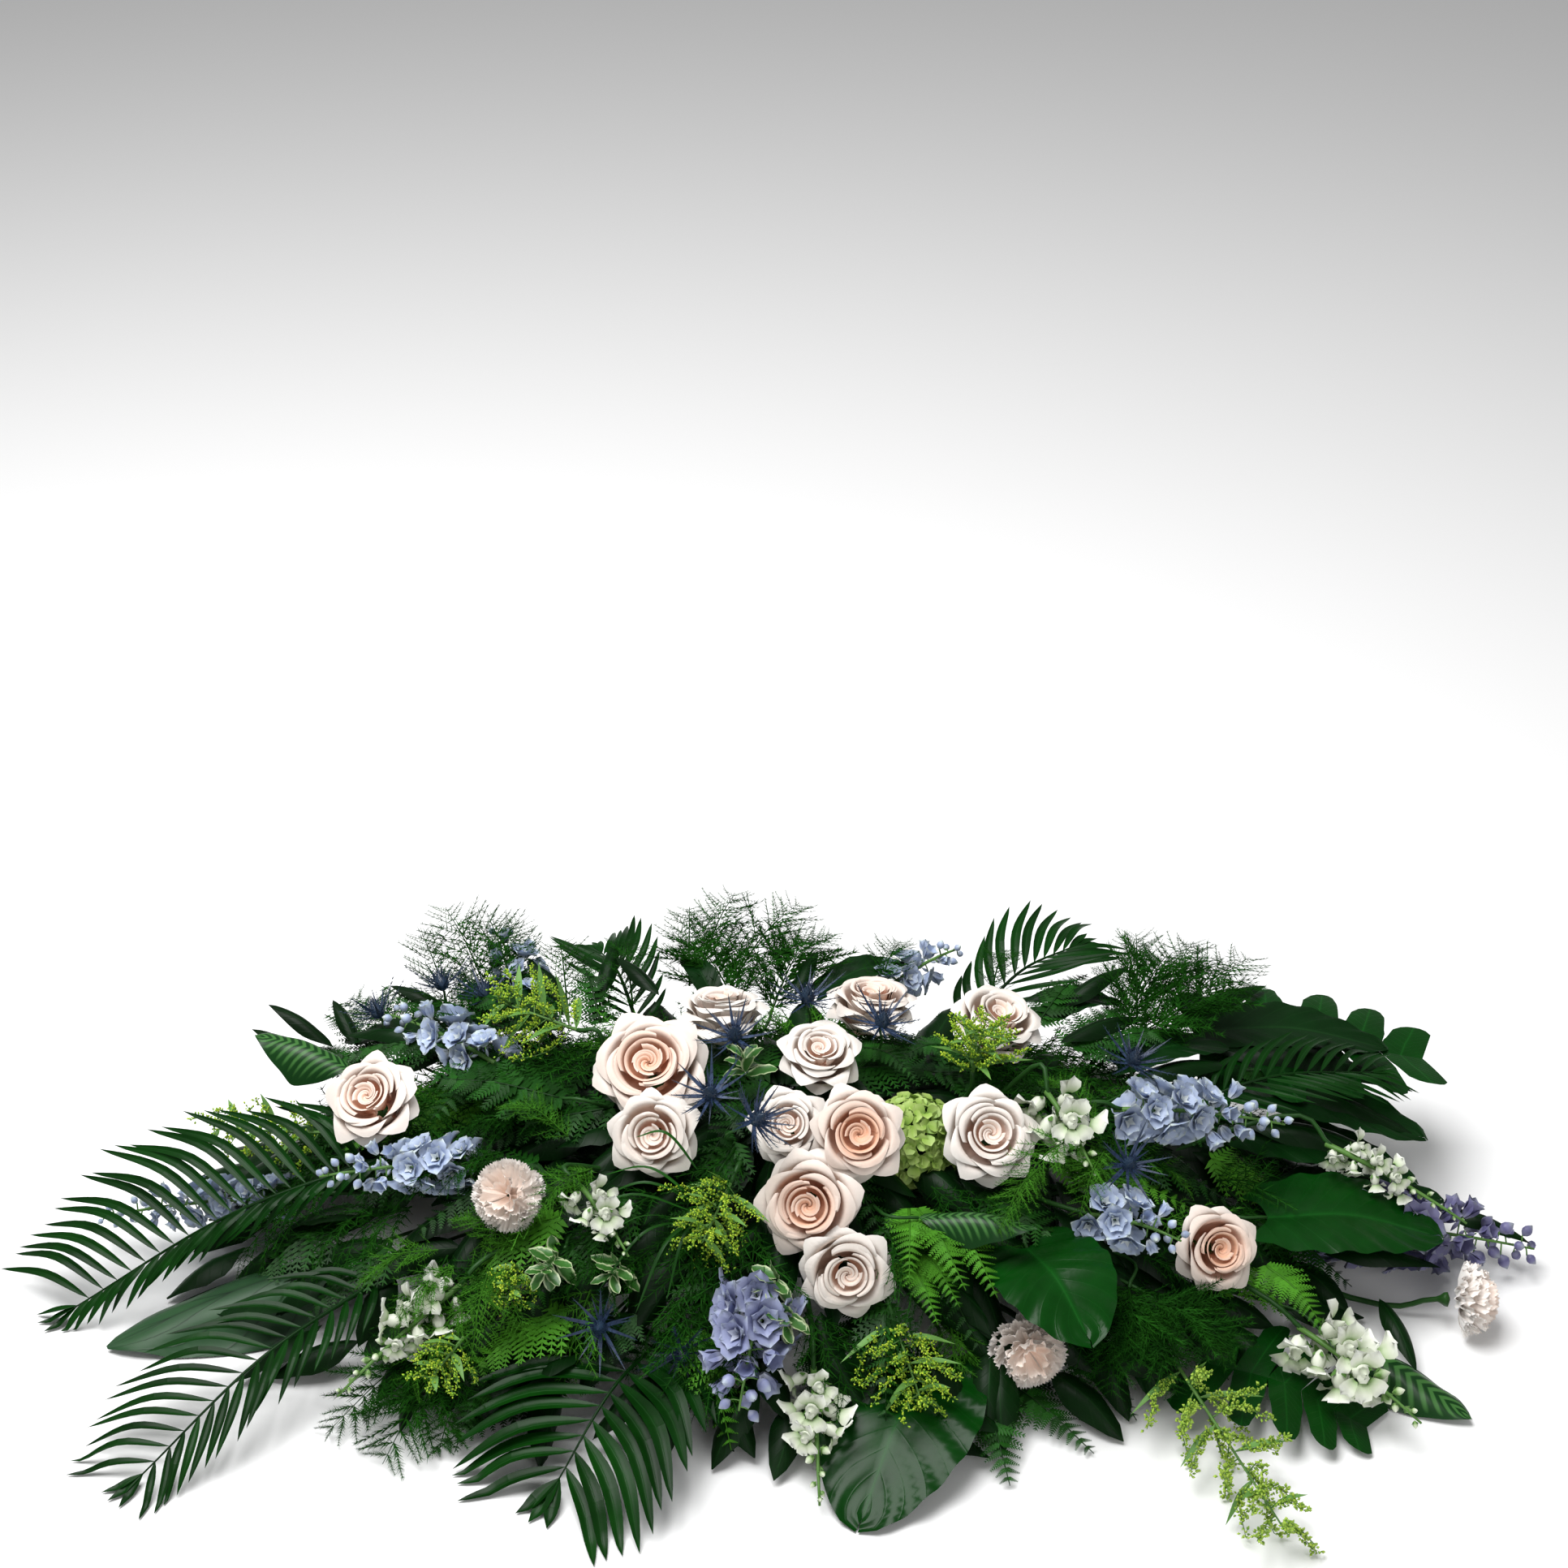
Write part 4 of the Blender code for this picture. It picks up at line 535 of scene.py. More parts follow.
def star(
    angles, length, half_width, tilt, opening=0.0, cup=0.3, start=0.08, rows=5, columns=5, ruffle=0.0, broadest=0.6
):
    """Petals that radiate from +Z: tilt is a petal's lean from it at its foot, and opening what its tip adds."""
    petals = []
    t = np.linspace(0, 1, rows)
    across = np.linspace(-1, 1, columns)
    width = oval(rows, half_width, broadest, 0.6)
    width[0] = half_width * 0.35
    lean = tilt + opening * t
    steps = np.gradient(t) * length
    out = start + np.cumsum(np.sin(lean) * steps)
    high = np.cumsum(np.cos(lean) * steps)
    sideways = width[:, None] * across[None]
    for n, angle in enumerate(angles):
        hollow = cup * np.abs(across)[None] ** 2 * width[:, None]
        hollow = hollow + ruffle * np.sin(across * 7 + n * 2.1)[None] * (t**2)[:, None]
        radial = out[:, None] - np.cos(lean)[:, None] * hollow
        c, s = math.cos(angle), math.sin(angle)
        points = [radial * c - sideways * s, radial * s + sideways * c, high[:, None] + np.sin(lean)[:, None] * hollow]
        petals.append(grid(np.stack(points, axis=-1), t[:, None], across, t, n * 0.17 % 1))
    return joined(petals)


def rays(count, turn=0.0):
    return [turn + math.tau * i / count for i in range(count)]


def needle(length=1.0, half_width=0.05):
    """A flat tapered needle along +Z."""
    tip = half_width * 0.15
    return grid(np.array([[(-half_width, 0, 0), (half_width, 0, 0)], [(-tip, 0, length), (tip, 0, length)]], float))


def ribbon(half_width):
    """A flat stalk along +Z, one long."""
    rib = np.linspace((0, 0, 0), (0, 0, 1), 3)
    return grid(np.stack([rib - np.array((half_width, 0, 0)), rib + np.array((half_width, 0, 0))], axis=1), 0.1)


def leaning(turns, leans):
    """Directions at turns about +Z and at leans from it."""
    return np.stack([np.sin(leans) * np.cos(turns), np.sin(leans) * np.sin(turns), np.cos(leans)], axis=-1)


def on_ball(turns, heights):
    """Directions at turns about +Z and at heights on a ball."""
    flat = np.sqrt(np.maximum(0, 1 - heights**2))
    return np.stack([flat * np.cos(turns), flat * np.sin(turns), heights], axis=-1)


# Blooms

def rose_petal(section, reach, turns, drop, tone, draw):
    """One petal: its section swept about the rose's axis, with the reach of its rim at each turn."""
    lie = on_path(curve(section, 8), reach)[0]
    points = np.stack([lie[..., 0] * np.cos(turns), lie[..., 0] * np.sin(turns), lie[..., 1] - drop], axis=-1)
    across, along = np.linspace(-1, 1, turns.shape[1]), np.linspace(0, 1, len(reach))
    return grid(points, np.clip(tone, 0, 1), across, along, draw.random())


def rose(width, warmth, draw):
    """A pinwheel of rolled petals in a bowl, and broad outer petals that fold back to pointed tips."""
    radius, depth = width / 2, ROSE_DEPTH * width
    s = np.linspace(-1, 1, 15)[None]
    wound = (s + 1) / 2
    petals = []
    t = np.linspace(0, 1, 5)[:, None]
    for k in range(ROSE_HEART):
        rim = 0.03 + draw.uniform(0.21, 0.27) * wound ** draw.uniform(0.75, 1.0)
        out = rim - (1 - t) * 0.080 + 0.02 * t**4
        high = -0.16 + 0.13 * wound**0.8 - 0.11 * (1 - t) ** 1.2 - 0.02 * (t > 0.99) + draw.uniform(-0.02, 0.02)
        angle = math.tau * (k + draw.uniform(-0.2, 0.2)) / ROSE_HEART + wound * draw.uniform(4.0, 5.2)
        points = np.stack([out * radius * np.cos(angle), out * radius * np.sin(angle), high * depth + 0 * s], axis=-1)
        # the foot of each rolled petal is painted warmer: painted warm shade deep in the heart
        tone = max(warmth, PALE_HEART) * (1.0 - 0.30 * wound) + 0.50 * (1 - t)
        petals.append(grid(points, np.clip(tone, 0, 1), s[0], t[:, 0], draw.random()))
    t = (np.linspace(0, 1, 10) ** 0.8)[:, None]
    turn = draw.uniform(0, 6)
    for count, section, half, point, power, roll, warm in ROSE_RINGS:
        offset = turn + math.radians(36) * (count > 4)
        turn = offset + (1.1 if count < 5 else 0.0)
        for k in range(count):
            shape = np.array(section) * np.array((radius, depth)) * draw.uniform(0.94, 1.04)
            tip = draw.uniform(-0.22, 0.22)
            lean = np.abs(s - tip) / (1 + abs(tip))
            reach = t * (1 - point * lean**power) * (1 + 0.02 * np.sin(6 * s + draw.uniform(0, 6)))
            narrow = 0.45 + 0.55 * np.sin(math.pi * np.clip(0.10 + 0.55 * t, 0, 1))
            angle = offset + math.tau * (2 * k % count + draw.uniform(-0.16, 0.16)) / count + s * half * narrow
            under = 0.012 * depth * (k % 3) + 0.035 * depth * s
            drop = roll * depth * lean**2 * t**3 + under - 0.022 * depth * np.sin(4.5 * s + draw.uniform(0, 6)) * t**2
            # the foot of every petal is painted warmer: painted warm shade where the petals hide one another
            tone = warmth * warm + PAINTED_FOOT_SHADE * (1 - t) ** 1.3 + 0 * s
            petals.append(rose_petal(shape, reach, angle, drop, tone, draw))
    return joined(petals)


def carnation(width, draw):
    """Many ruffled fans with toothed rims, upright in the heart and lying back outside."""
    s = np.linspace(-1, 1, 19)[None]
    t = np.linspace(0.06, 1, 7)[:, None]
    throat = np.array((0, 0, -0.58 * (CARNATION_DEPTH * width)))
    petals = []
    for k in range(CARNATION_FANS):
        layer = math.sqrt((k + 0.5) / CARNATION_FANS)
        lean = math.radians(6 + 92 * layer + draw.uniform(-7, 7))
        angle = k * GOLDEN_ANGLE + draw.uniform(-0.3, 0.3)
        out = np.array((math.cos(angle), math.sin(angle), 0))
        way = math.cos(lean) * UP + math.sin(lean) * out
        side = np.array((-math.sin(angle), math.cos(angle), 0))
        normal = np.cross(side, way)
        length = width * (0.395 + 0.10 * layer) * draw.uniform(0.94, 1.03)
        teeth = 1 + 0.035 * np.where(np.arange(s.size) % 2, 1, -1)[None] * t**6
        ruffle = width * 0.034 * t**2 * np.sin(s * draw.uniform(5, 8) + draw.uniform(0, 6))
        ruffle = ruffle + width * 0.018 * t**3 * np.sin(s * 15 + draw.uniform(0, 6))
        arch = width * 0.10 * np.sin(math.pi * t) * math.sin(lean)
        reach = length * t * teeth * (1 - 0.10 * s**2)
        spread = width * (0.20 - 0.04 * layer) * t**0.9 * s
        points = throat + reach[..., None] * way + spread[..., None] * side + (ruffle + arch)[..., None] * normal
        # warmer towards the heart and the foot of each fan: partly the flower's peach heart, partly painted warm shade
        # in its recesses
        tone = (1 - layer) * 0.75 + 0.35 * (1 - t) + 0 * s
        petals.append(grid(points, np.clip(tone, 0, 1), s[0], t[:, 0], draw.random()))
    return joined(petals)


def hydrangea(draw):
    """A dome of small flowers of four round petals."""
    at, facing, width = HYDRANGEA
    facing = unit(facing)
    centre = at - facing * width * 0.42
    k = np.arange(HYDRANGEA_FLORETS)
    local = on_ball(k * GOLDEN_ANGLE, 0.99 - 1.35 * (k + 0.5) / HYDRANGEA_FLORETS)
    ways = local @ stands(centre, facing)[0][:3, :3].T
    floret = star(rays(4), 1.0, 0.52, 1.05, 0.5, 0.25, 0.10, rows=5, columns=5, broadest=0.55)
    flower = joined([floret, egg(0.22, 0.12, 5, 3, tone=0.0)])
    size = width * 0.135 * draw.uniform(0.9, 1.12, k.size)
    spots = centre + ways * (width * draw.uniform(0.385, 0.425, k.size))[:, None]
    ways = unit(ways + draw.normal(0, 0.14, (k.size, 3)))
    return stamped(flower, stands(spots, ways, draw.uniform(0, 6, k.size), size), draw)


def spiny_bract(draw):
    """A slender bract along +Z, one long, edged with spines."""
    t = np.linspace(0, 1, 5)
    half = np.array((0.035, 0.042, 0.030, 0.018, 0.002))
    flat = np.stack([np.outer(half, (-1, 0, 1)), np.outer(0.10 * t**2, (1, 1, 1)), np.outer(t, (1, 1, 1))], axis=-1)
    parts = [grid(flat, 0.75 - 0.75 * t[:, None])]
    for along in (0.22, 0.40, 0.58, 0.74, 0.87):
        for hand in (-1, 1):
            spine = needle(0.24 * (1.25 - along), 0.013)
            spine.tone[:] = 0.1
            parts.append(stamped(spine, stands((0, 0.10 * along**2, along), (hand * 0.75, 0.10, 0.75)), draw))
    return joined(parts)


def thistle(at, facing, draw):
    """A cone of tiny spiked florets over a ruff of long spiny bracts."""
    cone = egg(0.019, 0.0066, 10, 7, 0.62, tone=0.15)
    k = np.arange(THISTLE_SPIKES)
    spikes_at = on_ball(k * 2.4, 0.98 - 1.15 * (k + 0.5) / THISTLE_SPIKES)
    spikes_at = spikes_at * (0.0058, 0.0058, 0.009) + 0.009 * UP
    ways = unit(spikes_at - 0.005 * UP)
    spike = needle(1.0, 0.10)
    spikes = joined([stamped(spike, stands(spikes_at, ways, turn, 0.0036), draw) for turn in (0.0, math.pi / 2)])
    spikes.tone[:] = 0.35
    bract = spiny_bract(draw)
    ruffs = []
    for number, reach, high, lean in THISTLE_RUFFS:
        turns = np.arange(number) * math.tau / number + draw.uniform(0, 1) + draw.normal(0, 0.10, number)
        ways = leaning(turns, lean + draw.normal(0, 0.14, number))
        size = reach * draw.uniform(0.80, 1.08, number)
        ruffs.append(stamped(bract, stands(ways * 0.003 + high * UP, ways, 0.0, size), draw))
    head = joined([cone, spikes, *ruffs])
    return stamped(head, stands(at - unit(facing) * THISTLE_SETBACK, facing, draw.uniform(0, 6)), draw)


# Stems

def hole(name):
    """The middle of a node's hole in the foam, and the way out of it."""
    face, along, other = HOLES[name][:3]
    along, other = along / 1000, other / 1000
    sign = -1.0 if face in ("front", "left") else 1.0
    if face == "top":
        return np.array((along, other, FOAM_TOP)), UP
    if face in ("front", "back"):
        return np.array((along, sign * FOAM_WIDTH / 2, other)), np.array((0, sign, 0))
    return np.array((sign * FOAM_LENGTH / 2, along, other)), np.array((sign, 0, 0))


def rooted(name, necks):
    """The root of a node's stem and its fork outside the foam."""
    out, square = hole(name)
    way = unit(square + LEAN * unit(np.mean(necks, axis=0) - out))
    return out - way * ROOT_DEPTH, out + way * STUB


def stem(root, fork, neck, way_in, radius, flare=None):
    """A stem from the root through the fork to a neck, with an open cup at its end where a bloom sits."""
    way_in = unit(way_in)
    bend = neck - way_in * np.linalg.norm(neck - fork) * BEND
    path = curve([root, fork, bend, neck], 5)
    radii = np.linspace(radius, radius * 0.8, len(path))
    if flare:
        path = np.concatenate([path, neck + way_in * np.array((0.3, 0.7, 1.0))[:, None] * CALYX_HEIGHT])
        radii = np.concatenate([radii, np.array((0.55, 0.95, 1.0)) * flare])
    return tube(path, radii, 7)


def bloom_base(name, place):
    """The foot of a bloom, the way it faces and the radius of its cup."""
    if name == "hydrangea":
        bloom, share, cup = HYDRANGEA, HYDRANGEA_DEPTH, HYDRANGEA_CUP
    elif name in ROSES:
        bloom, share, cup = ROSES[name][place], ROSE_DEPTH, ROSE_CUP
    else:
        bloom, share, cup = CARNATIONS[name][place], CARNATION_DEPTH, CARNATION_CUP
    at, facing, width = bloom[:3]
    return at - unit(facing) * width * share, unit(facing), cup


# Spikes and sprays

def along_spike(neck, tip, bow, shares):
    shares = np.atleast_1d(shares)[:, None]
    return neck + (tip - neck) * shares + UP * 4 * bow * shares * (1 - shares)


def around(axis, angles):
    """Directions square to an axis."""
    side = unit(np.cross(axis, UP if abs(axis[2]) < 0.9 else np.array((1.0, 0, 0))))
    other = np.cross(axis, side)
    return np.cos(angles)[:, None] * side + np.sin(angles)[:, None] * other


def spike_spine(neck, tip, bow, foot_radius, tip_radius, points=9, sides=6):
    """The stalk of a spike, which starts a little before its neck."""
    line = along_spike(neck, tip, bow, np.linspace(-0.05, 1, points))
    return tube(line, np.linspace(foot_radius, tip_radius, points), sides)


DELPHINIUM_STEP, SNAPDRAGON_STEP, SNAPDRAGON_TURN = 0.0044, 0.0066, 2.25  # from floret to floret
DELPHINIUM_OPEN, DELPHINIUM_HALF, SNAPDRAGON_OPEN = 0.50, 0.72, 0.52  # how far up the florets are open, or half open


def delphinium(neck, tip, reach, draw):
    """Open florets low on the spike, closing to buds at its tip."""
    axis, bow = unit(tip - neck), 0.005
    count = max(18, round(np.linalg.norm(tip - neck) / DELPHINIUM_STEP))
    share = (np.arange(count) + 0.3) / count
    out = around(axis, np.arange(count) * GOLDEN_ANGLE)
    at = along_spike(neck, tip, bow, share)
    size = reach * np.where(share < 0.55, 1.0, 1.0 - 0.45 * (share - 0.55) / 0.45) * draw.uniform(0.9, 1.1, count)
    ways = unit(out + axis * (0.25 + 0.7 * share)[:, None] + draw.normal(0, 0.12, (count, 3)))
    sepals = star(rays(5), 0.74, 0.34, 0.50, 0.85, 0.30, 0.06, 6, 5, 0.05, 0.62)
    second = star(rays(6, 0.6), 0.56, 0.24, 0.30, 0.60, 0.35, 0.05, 5, 4, 0.05, 0.62)
    second.tone[:] = second.tone * 0.7 + 0.25
    inner = star(rays(4, 0.4), 0.34, 0.10, 0.25, 0.3, 0.5, 0.02, 3, 3)
    inner.tone[:] = -0.6
    spur = egg(0.44, 0.075, 5, 4, 0.8, tone=0.2)
    spur.points[:, 2] *= -1
    opened = joined([sepals, second, inner, spur])
    half = joined([star(rays(5), 0.70, 0.27, 0.20, 0.30, 0.8, 0.03, 5, 5, 0.02, 0.5), spur])
    bud = egg(0.66, 0.25, 8, 6, 0.85, tone=None)
    bud.tone[:] = np.clip(1.5 * bud.tone - 0.35, 0.1, 1.0)
    parts = []
    for template, low, high, shift in (
        (opened, 0.0, DELPHINIUM_OPEN, 0.0),
        (half, DELPHINIUM_OPEN, DELPHINIUM_HALF, 0.0),
        (bud, DELPHINIUM_HALF, 1.0, 0.1),
    ):
        chosen = (share >= low) & (share < high)
        if chosen.any():
            foot = at[chosen] + out[chosen] * (size[chosen] * 0.46)[:, None]
            spots = stands(foot, ways[chosen], draw.uniform(0, 6, chosen.sum()), size[chosen])
            parts.append(stamped(template, spots, draw, shift))
    stalks = [
        tube([start, start * 0.4 + end * 0.6 + UP * 0.001, end], 0.0007, 4)
        for start, end in zip(at, at + out * (size * 0.50)[:, None])
    ]
    return joined(parts), joined([spike_spine(neck, tip, bow, 0.0024, 0.0009), *stalks])


def snapdragon(neck, tip, reach, draw):
    """Two-lipped florets in loose whorls, and green buds at the tip."""
    axis, bow = unit(tip - neck), 0.004
    count = max(12, round(np.linalg.norm(tip - neck) / SNAPDRAGON_STEP))
    share = (np.arange(count) + 0.2) / count
    out = around(axis, np.arange(count) * SNAPDRAGON_TURN)
    at = along_spike(neck, tip, bow, share)
    size = reach * np.where(share < 0.5, 1.12, 0.80 - 0.50 * (share - 0.5) / 0.5) * draw.uniform(0.9, 1.1, count)
    ways = unit(out + axis * (0.45 + 0.6 * share)[:, None])
    upper = star([1.15, 1.99], 0.52, 0.25, 0.35, 1.05, 0.25, 0.16, 5, 5, 0.06, 0.62)
    lower = star([-0.75, -1.57, -2.39], 0.46, 0.21, 0.75, 1.35, 0.35, 0.16, 5, 5, 0.05, 0.62)
    palate = egg(0.22, 0.16, 6, 4, 0.9, tone=0.6)
    for part, forward, down in ((upper, 0.42, 0.0), (lower, 0.42, 0.0), (palate, 0.46, 0.10)):
        part.points[:] += (0.0, -down, forward)
    floret = joined([upper, lower, egg(0.78, 0.205, 8, 5, 0.72, tone=0.55), palate])
    bud = egg(0.60, 0.19, 7, 5, 0.9, tone=None)
    calyx = star(rays(5), 0.24, 0.07, 0.45, 0.3, 0.3, 0.10, 3, 3)
    is_open = share < SNAPDRAGON_OPEN
    turn = draw.normal(0, 0.2, count)
    foot = at + out * (size * 0.16)[:, None]
    flowers = [
        stamped(floret, stands(foot[is_open], ways[is_open], turn[is_open], size[is_open]), draw),
        stamped(bud, stands(foot[~is_open], ways[~is_open], 0.0, size[~is_open] * 1.1), draw, -0.45),
    ]
    cups = stamped(calyx, stands(foot, ways, 0.0, size), draw)
    return joined(flowers), joined([spike_spine(neck, tip, bow, 0.0028, 0.0010), cups])


def goldenrod(neck, tip, reach, draw, arms=24):
    """Curving arms crowded with small yellow heads, and narrow leaves between them."""
    axis = unit(tip - neck)
    bead = egg(1.0, 0.38, 3, 3, 0.8, tone=None)
    spacing, swell, thick = (0.00048, 1.25, 0.0048) if reach > FULL_PLUME else (0.00066, 1.0, 0.0034)
    heads, greens = [], [spike_spine(neck, tip, 0.0, 0.0017, 0.0007, 6, 5)]
    for i in range(arms):
        share = (i + 0.4) / arms
        start = along_spike(neck, tip, 0.0, share)[0]
        out = around(axis, np.array([i * GOLDEN_ANGLE]))[0]
        length = reach * (1 - 0.45 * share) * draw.uniform(0.80, 1.05)
        end = start + unit(out * 1.3 + axis * 0.9 + draw.normal(0, 0.25, 3)) * length * 1.12
        middle = start + unit(out * 1.2 + axis * 0.6) * length * 0.55
        arm = raised(curve([start, middle, end - UP * length * 0.12], 9), LOWEST_ARM)
        greens.append(tube(arm, np.linspace(0.0007, 0.0003, len(arm)), 4))
        count = max(12, round(length / spacing))
        spots = on_path(arm, draw.uniform(0.18, 1.0, count))[0]
        ways = unit(draw.normal(0, 0.8, (count, 3)) + UP * 0.8 + axis * 0.5)
        size = draw.uniform(0.0024, 0.0036, count) * swell
        spots = raised(spots + ways * draw.uniform(0.0003, thick, count)[:, None], LOWEST_BEAD)
        heads.append(stamped(bead, stands(spots, ways, 0.0, size), draw, draw.uniform(-0.30, 0.25, count)))
        if i % 2 == 0:
            leaf_tip = start + unit(out + axis * 0.4 - UP * 0.1) * length * 1.1
            rib = curve([start, (start + leaf_tip) / 2 + UP * 0.003, leaf_tip], 4)
            greens.append(blade(rib, oval(len(rib), 0.0034, 0.35), 3, 0.3, seed=draw.random()))
    return joined(heads), joined(greens)


# Foliage

def arched(neck, tip, lift, steps=6):
    return curve([neck, (neck + tip) / 2 + UP * lift, tip], steps)


def palm(neck, tip, longest, pairs, sides, roll, closing, broad, draw):
    """A feathered frond: long folded leaflets in pairs along an arched rib."""
    rib = arched(neck, tip, 0.018, 8)
    tangent, side, upper = frames(rib, roll)
    parts = [tube(rib, np.linspace(0.0022, 0.0007, len(rib)), 6, 0.9)]
    shares = (np.arange(pairs) + 0.15) / pairs * 0.99
    starts, low = on_path(rib, shares)
    for start, j, share in zip(starts, low, shares):
        reach = longest * (1 - (0.7 * (0.4 - share) if share < 0.4 else 0.6 * (share - 0.4) ** 2 / 0.6))
        lean = math.radians((PALM_WIDE_LEAN if broad > PALM_WIDE else PALM_LEAN) * (1 - closing * share))
        for hand, scale in zip((1, -1), sides):
            length = reach * scale * draw.uniform(0.93, 1.03)
            turn = lean * (1 + PALM_FAN * (scale - 1)) + draw.normal(0, 0.035)
            way, ahead = (math.cos(a) * tangent[j] + math.sin(a) * hand * side[j] for a in (turn, turn * 0.72))
            sag = longest * draw.uniform(0.04, 0.14)
            middle = start + way * length * 0.5 + upper[j] * sag * 0.45
            lie = raised(curve([start, middle, start + (way + ahead) / 2 * length - UP * sag * 0.6], 5))
            widths = oval(len(lie), broad * (reach / longest) ** 0.5 * (0.7 + 0.3 * scale), 0.42, 0.7)
            parts.append(blade(lie, widths, 5, 0.35, 0.0, roll=roll, seed=draw.random()))
    end, last = rib[-1], PALM_TIP * longest
    for turn in (-0.34, 0.05, 0.40):
        way = math.cos(turn) * tangent[-1] + math.sin(turn) * side[-1]
        lie = raised(curve([end - tangent[-1] * 0.004, end + way * last * 0.5, end + way * last - UP * 0.002], 4))
        parts.append(blade(lie, oval(len(lie), broad * 0.85, 0.45), 5, 0.35, seed=draw.random()))
    return joined(parts)


def heart_leaf(neck, tip, half_width, draw):
    """A broad uncut leaf with a heart-shaped foot and a drip tip."""
    rib = arched(neck, tip, 0.012, 14)
    t = np.linspace(0, 1, len(rib))[:, None]
    rounded = np.sin(math.pi * np.clip(t * 0.93 + 0.07, 0, 1)) ** 0.55
    tangent, side, upper = frames(rib)
    s = np.linspace(-1, 1, 19)[None]
    reach = half_width * np.maximum(rounded * (1 - 0.30 * t), 0.012) * s
    sweep = -0.32 * half_width * s**2 * (1 - t) ** 2 + 0.22 * half_width * np.abs(s) * t
    ripple = 0.035 * half_width * np.sin(math.tau * (6 * t - 1.4 * np.abs(s))) * np.abs(s)
    lift = 0.18 * np.abs(reach) - 2.6 * reach**2 + ripple
    points = rib[:, None] + side[:, None] * reach[..., None]
    points = points + tangent[:, None] * sweep[..., None] + upper[:, None] * lift[..., None]
    return grid(raised(points), np.abs(s), s[0], t[:, 0], draw.random())


def cut_leaf(neck, tip, half_width, draw):
    """A broad heart-shaped leaf, its edge cut into rounded fingers between the veins."""
    rib = arched(neck, tip, 0.012, 24)
    tangent, side, upper = frames(rib)
    length = np.linalg.norm(rib[-1] - rib[0])
    t = np.linspace(0, 1, 11)[:, None]
    s = np.linspace(0, 1, 7)[None]
    slit = 0.24 * np.clip((t - 0.40) / 0.60, 0, 1) ** 0.6
    parts = []
    for hand in (-1, 1):
        for i in range(CUT_FINGERS):
            start, end = i / CUT_FINGERS, (i + 1) / CUT_FINGERS
            middle = (start + end) / 2
            reach = half_width * (0.98 - 0.10 * (middle - 0.35) ** 2 - 0.62 * middle**2.4)
            low = start + slit * (i > 0) / CUT_FINGERS / 2
            high = end - slit * (i < CUT_FINGERS - 1) / CUT_FINGERS / 2
            across = reach * t - reach * 0.16 * (np.abs(2 * s - 1) ** 3) * t**4
            along = low + (high - low) * s + (0.42 * across / length + (-0.34 * (1 - middle) ** 3 * t))
            at, j = on_path(rib, along)
            past = (along - np.clip(along, 0, 1))[..., None] * length
            lift = 0.16 * across - 2.4 * across**2 + 0.02 * half_width * np.sin(math.pi * s) * np.clip(t - 0.3, 0, 1)
            points = at + tangent[j] * past + side[j] * (hand * across)[..., None] + upper[j] * lift[..., None]
            points = raised(points)[:, ::hand]
            parts.append(grid(points, t, s[0] * 2 - 1, t[:, 0], draw.random()))
    return joined(parts)


def monstera(neck, tip, half_width, is_cut, draw):
    return (cut_leaf if is_cut else heart_leaf)(neck, tip, half_width, draw)


def plain_leaf(neck, tip, half_width, draw):
    """A long uncut leaf, pointed, with a wavy edge."""
    rib = arched(neck, tip, 0.008, 12)
    widths = oval(len(rib), half_width, 0.42, 0.75)
    return blade(rib, widths, 11, 0.22, 1.3, half_width * 0.05, 3.2, seed=draw.random())


FINE_TOOTH = ((0.0, 0.34), (0.40, 0.50), (0.75, 0.30), (1.0, 0.04))  # place along a tooth, and its width there
PLAIN_TOOTH = ((0.0, 0.42), (0.45, 0.50), (1.0, 0.04))


def pinna_template(pairs, columns):
    """One feather of a leatherleaf frond: toothed pinnules in pairs."""
    draw = seeded("pinna")
    rows = FINE_TOOTH if columns > 2 else PLAIN_TOOTH
    parts = [ribbon(0.012)]
    for i in range(pairs):
        share = (i + 0.2) / pairs
        length = 0.32 * (1 - 0.80 * share) + 0.03
        for hand in (-1, 1):
            way = unit((hand * 0.78, 0.05, 0.62))
            points = np.zeros((len(rows), columns, 3))
            for r, (along, wide) in enumerate(rows):
                middle = np.array((0, 0, share)) + way * length * along - np.array((0, 0.10 * along**2 * length, 0))
                for c, offset in enumerate(np.linspace(-0.5, 0.5, columns)):
                    points[r, c] = middle + np.array((0, 0.06 * abs(offset) * length, offset * wide * length))
            parts.append(grid(points[:, ::hand], 0.6, seed=draw.random()))
    return joined(parts)


def plume_template(tufts, needles):
    """A side branch of an asparagus fern: a wiry stalk with fine needles in tufts."""
    draw = seeded("plume")
    count = tufts * needles
    share = np.repeat((np.arange(tufts) + 0.5) / tufts, needles)
    angle = np.tile(np.linspace(-1.25, 1.25, needles), tufts) + draw.normal(0, 0.15, count)
    length = 0.28 * (1 - 0.55 * share) * draw.uniform(0.75, 1.15, count)
    ways = np.stack([np.sin(angle), draw.normal(0, 0.30, count), np.abs(np.cos(angle)) + 0.35], axis=-1)
    spots = stands(share[:, None] * UP, ways, draw.uniform(0, 3, count), length)
    return joined([stamped(needle(1.0, 0.056), spots, draw), ribbon(0.007)])


def feather_ways(rib, low, turn, hand, rise):
    """The ways that the feathers of one side of a frond go."""
    tangent, side, upper = frames(rib)
    ways = np.cos(turn)[:, None] * tangent[low] + hand * np.sin(turn)[:, None] * side[low]
    return ways + upper[low] * rise[:, None]


